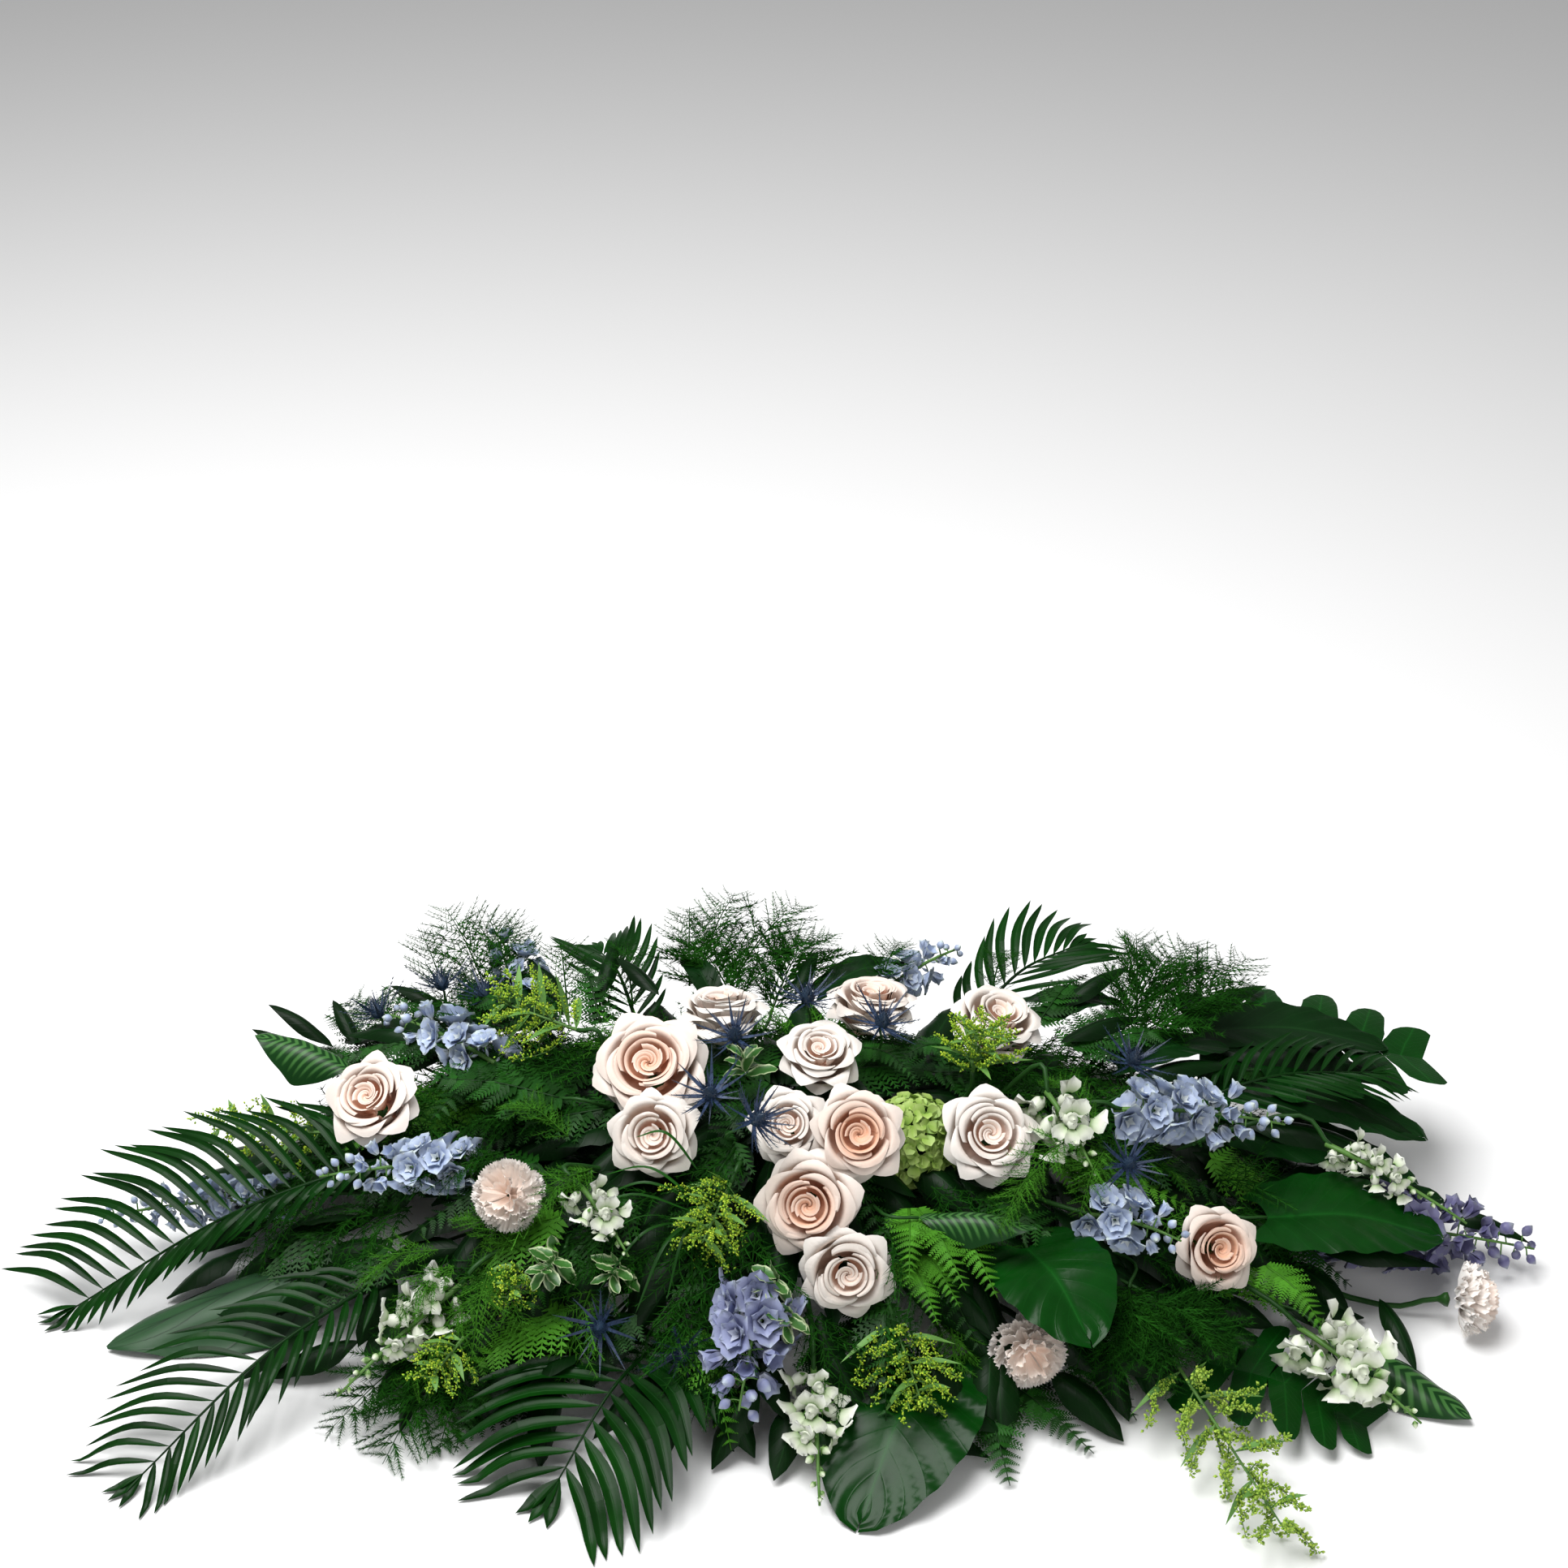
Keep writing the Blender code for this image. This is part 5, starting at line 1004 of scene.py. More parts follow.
def fern(neck, tip, longest, pairs, pinna, draw, lift=0.006):
    """A leatherleaf frond: toothed feathers that shorten towards the tip."""
    rib = arched(neck, tip, lift, 8)
    shares = (np.arange(pairs) + 0.1) / pairs
    start, low = on_path(rib, shares)
    reach = longest * (1 - 0.86 * shares) * np.where(shares < 0.12, 0.86, 1.0)
    parts = [tube(rib, np.linspace(0.0013, 0.0004, len(rib)), 5, 0.2)]
    for hand in (-1, 1):
        turn = FERN_LEAN + draw.normal(0, 0.05, pairs)
        ways = feather_ways(rib, low, turn, hand, -draw.uniform(0.0, 0.25, pairs))
        made = stands(start, ways, draw.normal(0, 0.15, pairs), reach * draw.uniform(0.94, 1.04, pairs))
        parts.append(stamped(pinna, made, draw))
        raised(parts[-1].points)
    return joined(parts)


def asparagus(neck, tip, longest, pairs, plume, draw, lift=0.008):
    """A feathery frond of fine needles."""
    rib = arched(neck, tip, lift, 6)
    shares = (np.arange(pairs) + 0.2) / pairs
    start, low = on_path(rib, shares)
    reach = longest * np.sin(math.pi * np.clip(0.28 + 0.66 * shares, 0, 1)) ** 0.8
    parts = [tube(rib, np.linspace(0.0010, 0.0003, len(rib)), 4, 0.1)]
    for hand in (-1, 1):
        turn = ASPARAGUS_LEAN + draw.normal(0, 0.14, pairs)
        ways = feather_ways(rib, low, turn, hand, draw.normal(0, 0.16, pairs))
        sizes = reach * draw.uniform(0.80, 1.08, pairs)
        parts.append(stamped(plume, stands(start, ways, draw.normal(0, 0.35, pairs), sizes), draw))
        raised(parts[-1].points)
    return joined(parts)


def rosette(neck, tip, draw, leaves=14, reach=0.027):
    """Small oval leaves round a twig's end."""
    axis = unit(tip - neck)
    parts = []
    for i in range(leaves):
        share = i / leaves
        out = around(axis, np.array([i * GOLDEN_ANGLE]))[0]
        way = unit(out + axis * (0.10 + 0.9 * share))
        start = neck + (tip - neck) * (0.3 + 0.7 * share)
        length = reach * (1.0 - 0.35 * share) * draw.uniform(0.85, 1.1)
        rib = curve([start, start + way * length * 0.5 + axis * 0.0015, start + way * length], 4)
        parts.append(blade(rib, oval(len(rib), length * 0.24, 0.55, 0.6), 5, 0.25, wave=0.0006, seed=draw.random()))
    return joined(parts)


def filling_parts(host, root, fork, pinna, draw):
    """The leaves and ferns that a host node carries, on their stalks."""
    parts = []
    for kind, *tip in FILLING.get(host, ()):
        start, tip = root + (fork - root) * FORK_SHARE, np.array(tip) / 1000
        span = tip - start
        reach = np.linalg.norm(span)
        rib = curve([start, start + span * 0.5 + UP * FILL_RISE * reach, tip], 12)
        foot = round(FILL_STALK * (len(rib) - 1))
        parts.append((tube(rib[: foot + 2], 0.0012, 5), "stem"))
        if kind == "leaf":
            lie = rib[foot:]
            widths = oval(len(lie), FILL_LEAF_WIDTH * reach * 1.05, 0.45, 0.7)
            # these leaves take the near-black look, whose colour is painted shade
            parts.append((blade(lie, widths, 11, 0.22, 1.0, 0.002, 3.0, seed=draw.random()), "ruscus"))
        else:
            parts.append((fern(rib[foot], tip, FILL_FERN_WIDTH * reach, 12, pinna, draw, 0.008), "fern"))
    return parts


# Materials

class Value:
    """What a node puts out, to be worked on with the usual signs."""

    def __init__(self, tree, socket):
        self.tree, self.socket = tree, socket

    def worked(self, operation, *values):
        node = linked(self.tree, "ShaderNodeMath", enumerate(values), operation=operation)
        return Value(self.tree, node.outputs[0])

    def __add__(self, other):
        return self.worked("ADD", self, other)

    def __sub__(self, other):
        return self.worked("SUBTRACT", self, other)

    def __rsub__(self, other):
        return self.worked("SUBTRACT", other, self)

    def __mul__(self, other):
        return self.worked("MULTIPLY", self, other)

    def __pow__(self, other):
        return self.worked("POWER", self, other)

    def __abs__(self):
        return self.worked("ABSOLUTE", self)


def linked(tree, kind, inputs=(), **settings):
    """A node with its settings, its inputs being links where they are values of other nodes."""
    node = tree.nodes.new(kind)
    for key, value in settings.items():
        setattr(node, key, value)
    for key, value in inputs:
        if isinstance(value, Value):
            tree.links.new(value.socket, node.inputs[key])
        else:
            node.inputs[key].default_value = value
    return node


class Paint:
    """A material in the making. Its colours are given in thousandths."""

    def __init__(self, name, roughness, **sockets):
        self.material = bpy.data.materials.new(name)
        self.material.use_nodes = True
        self.tree = self.material.node_tree
        self.shader = self.tree.nodes["Principled BSDF"]
        for socket, value in {"Roughness": roughness, **sockets}.items():
            self.shader.inputs[socket.replace("_", " ")].default_value = value

    def node(self, kind, output, inputs=(), **settings):
        return Value(self.tree, linked(self.tree, kind, inputs, **settings).outputs[output])

    def places(self):
        """A point's tone, and its place: whole, across, along and by its draw."""
        tone = self.node("ShaderNodeAttribute", "Fac", attribute_name="tone")
        place = self.node("ShaderNodeAttribute", "Vector", attribute_name="place")
        return tone, place, *(self.node("ShaderNodeSeparateXYZ", axis, [(0, place)]) for axis in "XYZ")

    def noise(self, scale, detail, vector=None):
        """Noise in the object's space, or along a vector."""
        vector = vector or self.node("ShaderNodeTexCoord", "Object")
        return self.node("ShaderNodeTexNoise", "Fac", [("Vector", vector), ("Scale", scale), ("Detail", detail)])

    def ramp(self, factor, stops):
        node = linked(self.tree, "ShaderNodeValToRGB", [("Fac", factor)])
        elements = node.color_ramp.elements
        while len(elements) < len(stops):
            elements.new(0.5)
        for element, (position, *colour) in zip(elements, stops):
            element.position, element.color = position / 1000, rgba(colour)
        return Value(self.tree, node.outputs["Color"])

    def mixed(self, factor, first, second):
        return self.node("ShaderNodeMix", 2, [(0, factor), (6, first), (7, second)], data_type="RGBA")

    def coloured(self, colour, draw, spread):
        """The colour, made lighter or darker petal by petal."""
        value = draw * spread + (1 - spread / 2)
        varied = self.node("ShaderNodeHueSaturation", "Color", [("Value", value), ("Color", colour)])
        self.tree.links.new(varied.socket, self.shader.inputs["Base Color"])

    def bumped(self, height, strength, distance):
        inputs = [("Strength", strength), ("Distance", distance), ("Height", height)]
        normal = self.node("ShaderNodeBump", "Normal", inputs)
        self.tree.links.new(normal.socket, self.shader.inputs["Normal"])
        return self.material


def rgba(colour, strength=1.0):
    """A colour for a socket, from thousandths."""
    return (*(part / 1000 * strength for part in colour), 1)


def petal_material(name, stops, vein, roughness, spread, mottle=0.12, **sockets):
    """Petals: a tone from heart to rim, fine veins along them and faint mottling."""
    paint = Paint(name, roughness, **sockets)
    tone, place, _, _, draw = paint.places()
    stretched = [(0, place), (1, (11.0, 1.6, 40.0))]
    veins = paint.noise(1.0, 3.0, paint.node("ShaderNodeVectorMath", 0, stretched, operation="MULTIPLY"))
    shifted = tone + (paint.noise(90.0, 2.0) - 0.5) * (mottle * 2)
    colour = paint.mixed(veins * vein, paint.ramp(shifted, stops), rgba(stops[-1][1:], 0.62))
    paint.coloured(colour, draw, spread)
    return paint.bumped(veins, 0.35, 0.0006)


def leaf_material(name, dark, light, vein_colour, roughness, veins, slant, spread, ribs, gloss):
    """Leaves: side veins that slant from a pale midrib, and uneven colour."""
    paint = Paint(name, roughness, Specular_IOR_Level=gloss)
    _, _, across, along, draw = paint.places()
    reach = abs(across)
    phase = along * veins - reach * (slant * veins * 0.3)
    wave = abs(phase.worked("SINE", phase * math.pi))
    line = (1.0 - wave) ** 8.0
    midrib = (1.0 - reach.worked("MINIMUM", reach, 1.0)) ** 26.0
    base = paint.mixed(paint.noise(38.0, 3.0), rgba(dark), rgba(light))
    lines = line * ribs + midrib * 0.7
    paint.coloured(paint.mixed(lines.worked("MINIMUM", lines, 1.0), base, rgba(vein_colour)), draw, spread)
    return paint.bumped(paint.noise(420.0, 2.0) * 0.25 - line.worked("MAXIMUM", line, midrib), 0.25, 0.0005)


def striped_material(name, dark, light):
    """A leaf with pale feathered bars between its side veins."""
    paint = Paint(name, 0.38, Specular_IOR_Level=0.25)
    _, _, across, along, draw = paint.places()
    reach = abs(across)
    phase = along * 13.0 - reach * 2.2
    bars = (phase.worked("SINE", phase * math.tau) + 1.0) * 0.5 * (1.0 - reach**3.0)
    paint.coloured(paint.ramp(bars, [(300, *dark), (750, *light)]), draw, 0.2)
    return paint.bumped(bars, 0.3, 0.0005)


def rimmed_material(name, dark, light):
    """A small leaf with a cream rim."""
    paint = Paint(name, 0.38)
    _, _, across, _, draw = paint.places()
    cloud = paint.noise(300.0, 2.0)
    edge = abs(across) + (cloud - 0.5) * 0.5
    paint.coloured(paint.ramp(edge, [(0, *dark), (620, *dark), (860, *light)]), draw, 0.3)
    return paint.bumped(cloud, 0.3, 0.0005)


def moulded_material(name, colour, roughness, scale, distance):
    """Plastic or foam with an even grain."""
    paint = Paint(name, roughness)
    grain = paint.noise(scale, 4.0)
    paint.tree.links.new(paint.mixed(grain, rgba(colour, 0.7), rgba(colour)).socket, paint.shader.inputs["Base Color"])
    return paint.bumped(grain, 0.6, distance)


# Colours, and the tones at which they stand, in thousandths
CREAM, BLUSH, PEACH = (800, 780, 740), (820, 670, 580), (780, 430, 280)
SOFT = {"Sheen_Weight": 0.5, "Sheen_Roughness": 0.6}
# carnation: the warm end stands partly for the peach heart and partly for painted warm shade in the recesses
CARNATION_TONES = ((0, 980, 950, 920), (550, 980, 890, 820), (1000, 960, 710, 570))
HYDRANGEA_TONES = ((0, 120, 260, 20), (400, 260, 420, 60), (1000, 420, 560, 160))
DELPHINIUM_TONES = ((0, 640, 690, 720), (350, 280, 350, 550), (800, 420, 500, 680), (1000, 600, 690, 660))
LAVENDER_TONES = ((0, 460, 490, 600), (350, 180, 200, 380), (800, 280, 310, 500), (1000, 400, 460, 550))
DUSKY_TONES = ((0, 300, 300, 420), (350, 90, 80, 220), (800, 170, 160, 320), (1000, 260, 280, 340))
SNAPDRAGON_TONES = ((0, 160, 300, 70), (200, 500, 600, 380), (500, 720, 760, 620), (1000, 800, 820, 760))
GOLDENROD_TONES = ((0, 70, 240, 10), (500, 260, 480, 20), (1000, 580, 700, 40))
LIME_TONES = ((0, 100, 240, 20), (500, 280, 460, 40), (1000, 460, 620, 80))
THISTLE_TONES = ((0, 8, 24, 36), (400, 8, 18, 50), (1000, 90, 150, 300))
# petals: name, tones, strength of the veins, roughness, spread of lightness
LOOKS = {
    "rose": petal_material("rose_petals", [(0, *CREAM), (500, *BLUSH), (1000, *PEACH)], 0.06, 0.5, 0.04, 0.05),
    "carnation": petal_material("carnation_petals", CARNATION_TONES, 0.08, 0.6, 0.06, **SOFT),
    "hydrangea": petal_material("hydrangea_petals", HYDRANGEA_TONES, 0.35, 0.55, 0.25),
    "delphinium": petal_material("delphinium_petals", DELPHINIUM_TONES, 0.25, 0.5, 0.28),
    "lavender": petal_material("lavender_delphinium_petals", LAVENDER_TONES, 0.25, 0.5, 0.28),
    "dusky": petal_material("dusky_delphinium_petals", DUSKY_TONES, 0.35, 0.5, 0.28),
    "snapdragon": petal_material("snapdragon_petals", SNAPDRAGON_TONES, 0.10, 0.5, 0.12),
    "goldenrod": petal_material("goldenrod_florets", GOLDENROD_TONES, 0.0, 0.6, 0.3),
    "lime_goldenrod": petal_material("lime_goldenrod_florets", LIME_TONES, 0.0, 0.6, 0.3),
    "thistle": petal_material("thistle_bracts", THISTLE_TONES, 0.3, 0.35, 0.5),
    "striped": striped_material("striped_leaves", (3, 36, 4), (45, 150, 32)),
    "pittosporum": rimmed_material("pittosporum_leaves", (30, 120, 16), (420, 500, 280)),
    "foam": moulded_material("foam_grain", (30, 90, 26), 0.95, 900.0, 0.0010),
    "tray": moulded_material("tray_plastic_grain", (10, 32, 14), 0.42, 500.0, 0.0002),
}
# leaf: look, name, dark, light and vein colour, roughness, veins, their slant, spread, strength of the veins, gloss
LEAVES = (
    ("stem", "stems", (10, 55, 8), (25, 105, 15), (60, 150, 40), 0.45, 9, 0.55, 0.35, 0, 0.25),
    ("spine", "spines", (80, 210, 40), (150, 310, 70), (180, 320, 120), 0.45, 9, 0.55, 0.35, 0, 0.25),
    ("palm", "palm_leaflets", (1, 11, 1), (4, 46, 3), (15, 70, 15), 0.33, 2, 0, 0.5, 0, 0.12),
    ("monstera", "monstera_leaves", (1, 20, 1), (2, 50, 3), (6, 85, 8), 0.28, 8, 0.9, 0.3, 0.12, 0.16),
    # a darker copy of the monstera colours: painted shade, for the loose broad leaves in the gaps of the mound
    ("dark_monstera", "dark_monstera_leaves", (1, 11, 1), (2, 30, 3), (8, 50, 8), 0.42, 8, 0.9, 0.3, 0.16, 0.14),
    ("broad", "broad_leaves", (12, 52, 18), (28, 88, 30), (4, 18, 6), 0.45, 4, 2.4, 0.2, 0.8, 0.3),
    ("fern", "fern_pinnules", (2, 22, 2), (14, 85, 6), (20, 100, 20), 0.42, 4, 0.5, 0.9, 0.2, 0.16),
    # a lighter copy of the fern colours: painted light, for fronds that stand in the light
    ("bright_fern", "bright_fern_pinnules", (24, 120, 6), (80, 270, 16), (70, 240, 40), 0.5, 4, 0.5, 0.5, 0.2, 0.1),
    ("asparagus", "asparagus_needles", (2, 24, 2), (15, 85, 6), (30, 120, 20), 0.6, 1, 0, 0.7, 0, 0.03),
    # a lighter copy of the asparagus colours: painted light, for fronds that stand in the light
    (
        "bright_asparagus", "bright_asparagus_needles", (18, 95, 6), (60, 205, 16), (60, 200, 30),
        0.6, 1, 0, 0.6, 0, 0.04,
    ),
    # near-black leaves: real leaves, their near-black colour painted shade for the deep inside of the mound
    ("ruscus", "dark_leaves", (1, 7, 1), (2, 22, 2), (6, 40, 6), 0.42, 6, 0.9, 0.5, 0.15, 0.12),
)
LOOKS.update({look: leaf_material(*row) for look, *row in LEAVES})


# Pieces

def added(name, data):
    """An object of that name and data, in the scene."""
    made = bpy.data.objects.new(name, data)
    bpy.context.scene.collection.objects.link(made)
    return made


def piece(name, parts, nodes, slot):
    """A visible piece: shapes with the look of each, riding on the spray and standing for solids."""
    mesh = bpy.data.meshes.new(name)
    whole = joined([shape for shape, _ in parts])
    corners = whole.quads.size
    mesh.vertices.add(len(whole.points))
    mesh.loops.add(corners)
    mesh.polygons.add(corners // 4)
    looks = list(dict.fromkeys(look for _, look in parts))
    for look in looks:
        mesh.materials.append(LOOKS[look])
    indices = np.concatenate([np.full(len(shape.quads), looks.index(look), dtype=np.int32) for shape, look in parts])
    mesh.vertices.foreach_set("co", whole.points.astype(np.float32).ravel())
    mesh.loops.foreach_set("vertex_index", whole.quads.astype(np.int32).ravel())
    mesh.polygons.foreach_set("loop_start", np.arange(0, corners, 4, dtype=np.int32))
    mesh.polygons.foreach_set("loop_total", np.full(corners // 4, 4, dtype=np.int32))
    mesh.polygons.foreach_set("material_index", indices)
    mesh.update(calc_edges=True)
    tones = mesh.attributes.new("tone", "FLOAT", "POINT").data
    tones.foreach_set("value", whole.tone.astype(np.float32))
    places = mesh.attributes.new("place", "FLOAT_VECTOR", "POINT").data
    places.foreach_set("vector", whole.place.astype(np.float32).ravel())
    mesh.shade_smooth()
    made = added(name, mesh)
    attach(made, "root")
    if nodes:
        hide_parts(*nodes)


def seeded(name):
    """A random source of its own for each named thing."""
    return np.random.default_rng([ord(letter) for letter in name])


def build_blooms():
    for name, blooms in ROSES.items():
        draw = seeded(name)
        heads = [
            stamped(rose(width, warmth, draw), stands(at, facing, draw.uniform(0, 6)), draw)
            for at, facing, width, warmth in blooms
        ]
        piece(name + "_petals", [(joined(heads), "rose")], [name], "rose_petal")
    for name, blooms in CARNATIONS.items():
        draw = seeded(name)
        heads = [stamped(carnation(width, draw), stands(at, facing), draw) for at, facing, width in blooms]
        piece(name + "_petals", [(joined(heads), "carnation")], [name], "carnation_petal")
    piece("hydrangea_florets", [(hydrangea(seeded("hydrangea")), "hydrangea")], ["hydrangea"], "hydrangea_petal")


def build_stems():
    pinna = pinna_template(8, 3)
    for bunch, row in STEM_BUNCHES.items():
        bases = [bloom_base(*bloom) for bloom in row[3:]]
        root, fork = rooted(bunch, [base for base, _, _ in bases])
        stems = [
            stem(root, fork, base - facing * CALYX_HEIGHT, facing, BLOOM_STEM, cup) for base, facing, cup in bases
        ]
        filling = filling_parts(bunch, root, fork, pinna, seeded(bunch))
        piece(bunch + "_green", [(joined(stems), "stem"), *filling], [bunch], "stem_green")


SHADES = {"delphinium_far_right": "dusky", "delphinium_front": "lavender", "goldenrod_trailing": "lime_goldenrod"}


def build_spikes():
    for kind, look, grow, slot in (
        (DELPHINIUMS, "delphinium", delphinium, "delphinium_petal"),
        (SNAPDRAGONS, "snapdragon", snapdragon, "snapdragon_petal"),
        (GOLDENRODS, "goldenrod", goldenrod, "goldenrod_floret"),
    ):
        for name, spikes in kind.items():
            draw = seeded(name)
            root, fork = rooted(name, [spike[0] for spike in spikes])
            flowers, greens = (joined(made) for made in zip(*[grow(*spike, draw) for spike in spikes]))
            stems = [stem(root, fork, neck, tip - neck, SPIKE_STEM) for neck, tip, _ in spikes]
            parts = [(flowers, SHADES.get(name, look)), (greens, "spine"), (joined(stems), "stem")]
            piece(name + "_florets", parts, [name], slot)


def build_thistles():
    for name, heads in THISTLES.items():
        draw = seeded(name)
        necks = [at - unit(way) * THISTLE_SETBACK for at, way in heads]
        root, fork = rooted(name, necks)
        flowers = [thistle(at, way, draw) for at, way in heads]
        stems = [stem(root, fork, neck, way, THISTLE_STEM) for neck, (_, way) in zip(necks, heads)]
        piece(name + "_heads", [(joined(flowers), "thistle"), (joined(stems), "stem")], [name], "thistle_bract")


def build_foliage():
    pinna, plume = pinna_template(8, 3), plume_template(12, 7)
    for kind, look, grow, slot in (
        (PALMS, "palm", palm, "palm_leaf"),
        (MONSTERAS, "monstera", monstera, "monstera_leaf"),
        (BROAD_LEAVES, "broad", plain_leaf, "broad_leaf"),
        (FERNS, "fern", lambda *row: fern(*row[:4], pinna, row[4]), "fern_leaf"),
        (ASPARAGUS, "asparagus", lambda *row: asparagus(*row[:4], plume, row[4]), "asparagus_leaf"),
        (PITTOSPORUMS, "pittosporum", rosette, "pittosporum_leaf"),
    ):
        for name, leaves in kind.items():
            draw = seeded(name)
            root, fork = rooted(name, [leaf[0] for leaf in leaves])
            stalks = [stem(root, fork, leaf[0], leaf[1] - leaf[0], SPRAY_STEM) for leaf in leaves]
            blades = [grow(*leaf, draw) for leaf in leaves]
            shown = "striped" if name.startswith("striped") else look
            filling = filling_parts(name, root, fork, pinna, draw)
            parts = [(joined(blades), shown), (joined(stalks), "stem"), *filling]
            piece(name + "_foliage", parts, [name], slot)


# Greenery that fills the mound

def mound(turn, reach, share=1.0):
    """A point on the mound: the turn about its middle, how far out from 0 to 1, and the share of its height."""
    deep = MOUND_FRONT if math.sin(turn) < 0 else MOUND_BACK
    high = max(MOUND_HEIGHT * (1 - reach**2.2) * share, LOWEST_MOUND)
    return np.array((MOUND_LENGTH * reach * math.cos(turn), deep * reach * math.sin(turn), high))


def shingles(rings, draw):
    """Necks and tips of leaves that lie outwards on the mound, ring by ring."""
    for reach, count, length, share in rings:
        for i in range(count):
            turn = math.tau * (i + draw.uniform(-0.3, 0.3)) / count
            start = reach + draw.uniform(-0.05, 0.05)
            neck = mound(turn, max(start, 0.02), share)
            spread = MOUND_LENGTH * abs(math.cos(turn)) + 0.2 * abs(math.sin(turn))
            end = min(start + length / spread, 1.08)
            tip = mound(turn + draw.uniform(-0.12, 0.12), end, share)
            tip = neck + unit(tip - neck) * length * draw.uniform(0.85, 1.1)
            tip[2] = max(tip[2] + draw.uniform(-0.006, 0.012), LOWEST_TIP)
            yield neck, tip


def bloom_spaces():
    """The middle and the radius of every big bloom."""
    blooms = [bloom[:3] for group in (*ROSES.values(), *CARNATIONS.values()) for bloom in group] + [HYDRANGEA]
    middles = np.array([at - unit(facing) * width * 0.2 for at, facing, width in blooms])
    return middles, np.array([width for _, _, width in blooms]) / 2


MIDDLES, RADII = bloom_spaces()


def clear_of_blooms(neck, tip):
    """Whether a frond from neck to tip keeps out of the big blooms."""
    apart = np.linalg.norm(np.linspace(neck, tip, 5)[:, None] - MIDDLES[None], axis=-1)
    return bool((apart > RADII * BLOOM_ROOM).all())


def strewn(source, kind, bright, rings, grow, hand=0):
    """Fronds over the mound that keep out of the blooms, a share of them in a lighter copy of their colours, which is
    painted light; a hand keeps them to one side.
    """
    draw = seeded(source)
    fronds = {kind: [], "bright_" + kind: []}
    for neck, tip in shingles(rings, draw):
        if neck[0] * hand >= 0 and clear_of_blooms(neck, tip):
            look = "bright_" + kind if draw.random() < bright else kind
            fronds[look].append(grow(neck, tip, draw))
    return [(joined(made), look) for look, made in fronds.items()]


LEAF_HALF_WIDTH, GRASS_HALF_WIDTH, FERN_FEATHER, ASPARAGUS_FEATHER = 0.015, 0.0015, 0.048, 0.052
LOOSE_WIDE, LOOSE_FERN, LOOSE_ASPARAGUS = 0.24, 0.36, 0.42  # half width or longest feather, against the length
PAINTED_LIT_FERNS, PAINTED_LIT_ASPARAGUS = 0.20, 0.25  # shares of fronds in a lighter copy of their colours, which is painted light
# rings: how far out, number, length, share of the mound's height
LEAF_RINGS = [(r, round(18 + 46 * r), 0.080, 0.80) for r in (0.0, 0.1, 0.2, 0.3, 0.4, 0.5, 0.6, 0.7, 0.8, 0.88)]
FERN_RINGS = ((0.08, 10, 0.13, 0.88), (0.30, 18, 0.14, 0.88), (0.54, 22, 0.13, 0.90), (0.76, 22, 0.11, 0.90))
ASPARAGUS_RINGS = ((0.10, 16, 0.11, 0.94), (0.30, 28, 0.12, 0.95), (0.52, 34, 0.11, 0.96), (0.74, 34, 0.10, 0.96))


def build_filling():
    pinna, plume = pinna_template(6, 2), plume_template(7, 4)
    # near-black leaves shingled under the fronds: their colour is painted shade for the deep inside of the mound
    draw = seeded("dark leaves")
    leaves = []
    for neck, tip in shingles(LEAF_RINGS, draw):
        rib = arched(neck, tip, 0.010, 4)
        widths = oval(len(rib), LEAF_HALF_WIDTH, 0.45, 0.7)
        leaves.append(blade(rib, widths, 5, 0.2, 1.0, 0.001, roll=draw.normal(0, 0.4), seed=draw.random()))
    piece("filling_dark_leaves", [(joined(leaves), "ruscus")], (), "fern_leaf")

    def grow_fern(neck, tip, draw):
        return fern(neck, tip, FERN_FEATHER * draw.uniform(0.8, 1.1), 13, pinna, draw, 0.010)

    def grow_asparagus(neck, tip, draw):
        return asparagus(neck, tip, ASPARAGUS_FEATHER * draw.uniform(0.8, 1.15), 10, plume, draw, 0.014)

    parts = strewn("fern filling", "fern", PAINTED_LIT_FERNS, FERN_RINGS, grow_fern)
    piece("filling_fern_fronds", parts, (), "fern_leaf")
    for side, hand in (("left", -1), ("right", 1)):
        source = "asparagus filling" + side
        parts = strewn(source, "asparagus", PAINTED_LIT_ASPARAGUS, ASPARAGUS_RINGS, grow_asparagus, hand)
        piece("filling_asparagus_" + side, parts, (), "asparagus_leaf")


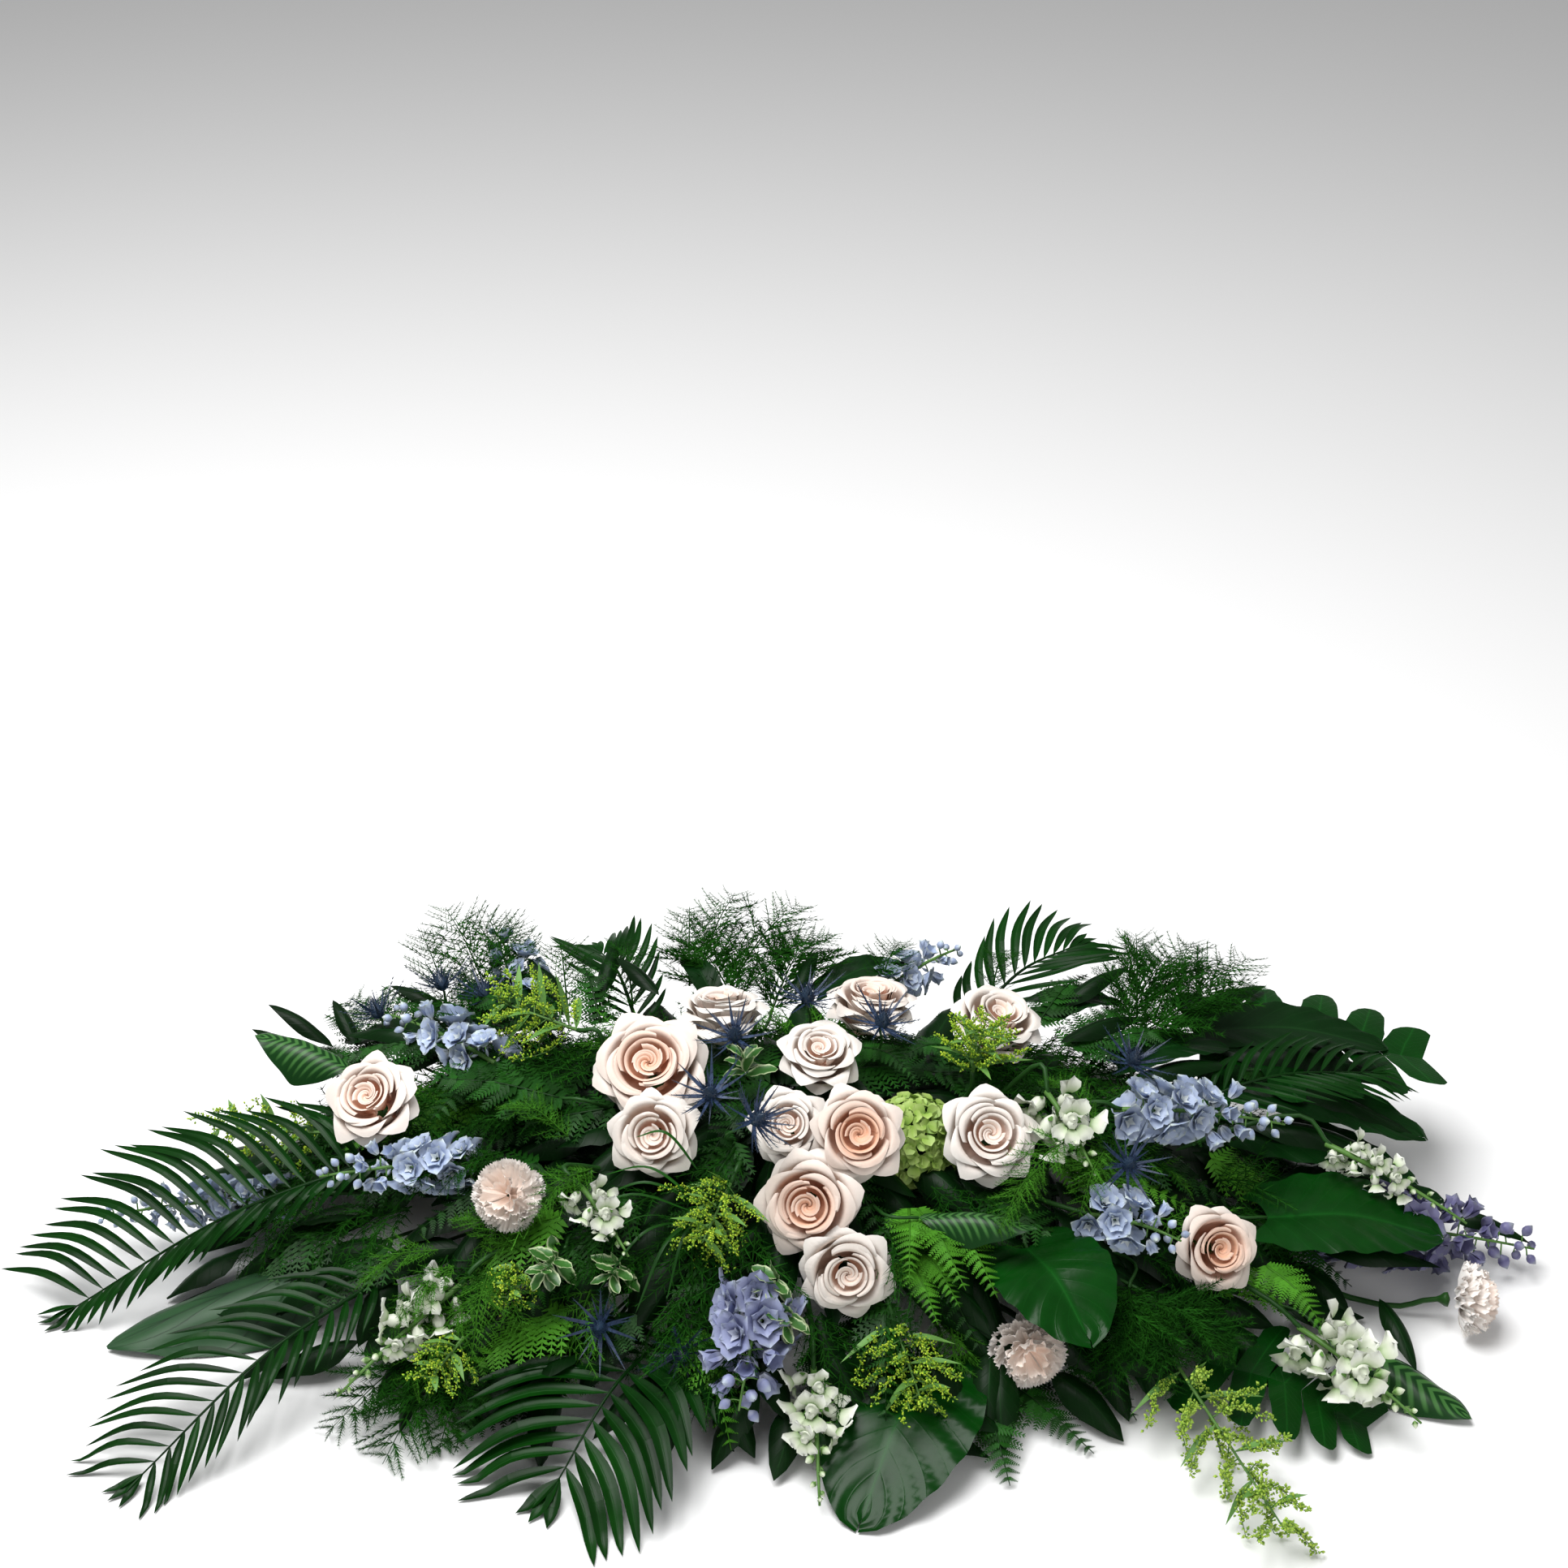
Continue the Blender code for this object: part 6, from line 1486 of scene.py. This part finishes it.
def build_loose():
    """Fronds, grass blades and twigs at their own places over the mound."""
    pinna, plume = pinna_template(7, 2), plume_template(8, 4)
    draw = seeded("loose fronds")
    fronds = {}
    for look, neck, tip in ((look, *metres(row)) for look, *rows in LOOSE_FRONDS for row in rows):
        length = math.dist(neck, tip)
        if not clear_of_blooms(neck, tip):
            continue
        if look == "leaf":
            rib = arched(neck, tip, 0.10 * length, 6)
            made = blade(rib, oval(len(rib), 0.085 * length + 0.003, 0.4, 0.8), 7, 0.3, 1.0, seed=draw.random())
        elif look == "wide":
            made = heart_leaf(neck, tip, LOOSE_WIDE * length, draw)
        elif look.endswith("fern"):
            made = fern(neck, tip, LOOSE_FERN * length, 14, pinna, draw, 0.010)
        else:
            made = asparagus(neck, tip, LOOSE_ASPARAGUS * length, 16, plume, draw, 0.012)
        fronds.setdefault(look, []).append(made)
    for kind, slot in (("fern", "fern_leaf"), ("asparagus", "asparagus_leaf")):
        parts = [(joined(made), look) for look, made in fronds.items() if look.endswith(kind)]
        piece("loose_" + kind + "_fronds", parts, (), slot)
    # both looks here are near-black: real leaves, their darkness painted shade in the gaps of the mound
    dark = [(joined(fronds["leaf"]), "ruscus"), (joined(fronds["wide"]), "dark_monstera")]
    piece("loose_dark_leaves", dark, (), "fern_leaf")
    blades = []
    for rib in (arched(*metres(row), 0.022, 8) for row in GRASSES):
        widths = oval(len(rib), GRASS_HALF_WIDTH, 0.3, 0.5)
        blades.append(blade(rib, widths, 3, 0.3, roll=draw.normal(0, 0.3), seed=draw.random()))
    piece("grass_blades", [(joined(blades), "fern")], (), "fern_leaf")
    sprays = [goldenrod(*metres(row), draw, 14) for row in LOOSE_GOLDENRODS]
    heads, greens = (joined(made) for made in zip(*sprays))
    piece("loose_goldenrods", [(heads, "goldenrod"), (greens, "spine")], (), "goldenrod_floret")
    twigs = [rosette(*metres(row), draw, 10, 0.026) for row in TWIGS]
    piece("variegated_twigs", [(joined(twigs), "pittosporum")], (), "pittosporum_leaf")


def build_holder():
    for node in ("foam", "tray"):
        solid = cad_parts[node]
        solid.data.materials.clear()
        solid.data.materials.append(LOOKS[node])


# Studio

FLOOR_REACH, FLOOR_WHITE, WORLD_STRENGTH = 6, 960, 0.25
LIGHTS = {"key": ((-0.7, 0.0, 2.8), 110, 2.0), "fill": ((1.2, -2.4, 1.4), 16, 1.4)}  # place, watts, size
LIT_POINT = Vector((0, -0.05, 0.08))
CAMERA_PLACE, CAMERA_DOWN, LENS, SENSOR = (0, -2.0939, 1.7570), 31.70, 70, 36


def build_studio():
    floor_mesh = bpy.data.meshes.new("floor")
    corners = [(x * FLOOR_REACH, y * FLOOR_REACH, 0) for x, y in ((-1, -1), (1, -1), (1, 1), (-1, 1))]
    floor_mesh.from_pydata(corners, [], [(0, 1, 2, 3)])
    paint = Paint("floor_paint", 0.9, Base_Color=rgba([FLOOR_WHITE] * 3))
    floor_mesh.materials.append(paint.material)
    floor = added("floor", floor_mesh)
    world = bpy.data.worlds.new("studio")
    world.use_nodes = True
    background = world.node_tree.nodes["Background"]
    background.inputs["Color"].default_value = (1, 1, 1, 1)
    background.inputs["Strength"].default_value = WORLD_STRENGTH
    bpy.context.scene.world = world
    for name, (place, watts, size) in LIGHTS.items():
        data = bpy.data.lights.new(name, "AREA")
        data.energy, data.size = watts, size
        light = added(name, data)
        light.location = place
        light.rotation_euler = (LIT_POINT - Vector(place)).to_track_quat("-Z", "Y").to_euler()
    data = bpy.data.cameras.new("camera")
    data.lens, data.sensor_width = LENS, SENSOR
    camera = added("camera", data)
    camera.location = CAMERA_PLACE
    camera.rotation_euler = (math.radians(90 - CAMERA_DOWN), 0, 0)
    bpy.context.scene.camera = camera
    bpy.context.scene.view_settings.view_transform = "Standard"


build_blooms()
build_stems()
build_spikes()
build_thistles()
build_foliage()
build_filling()
build_loose()
build_holder()
build_studio()
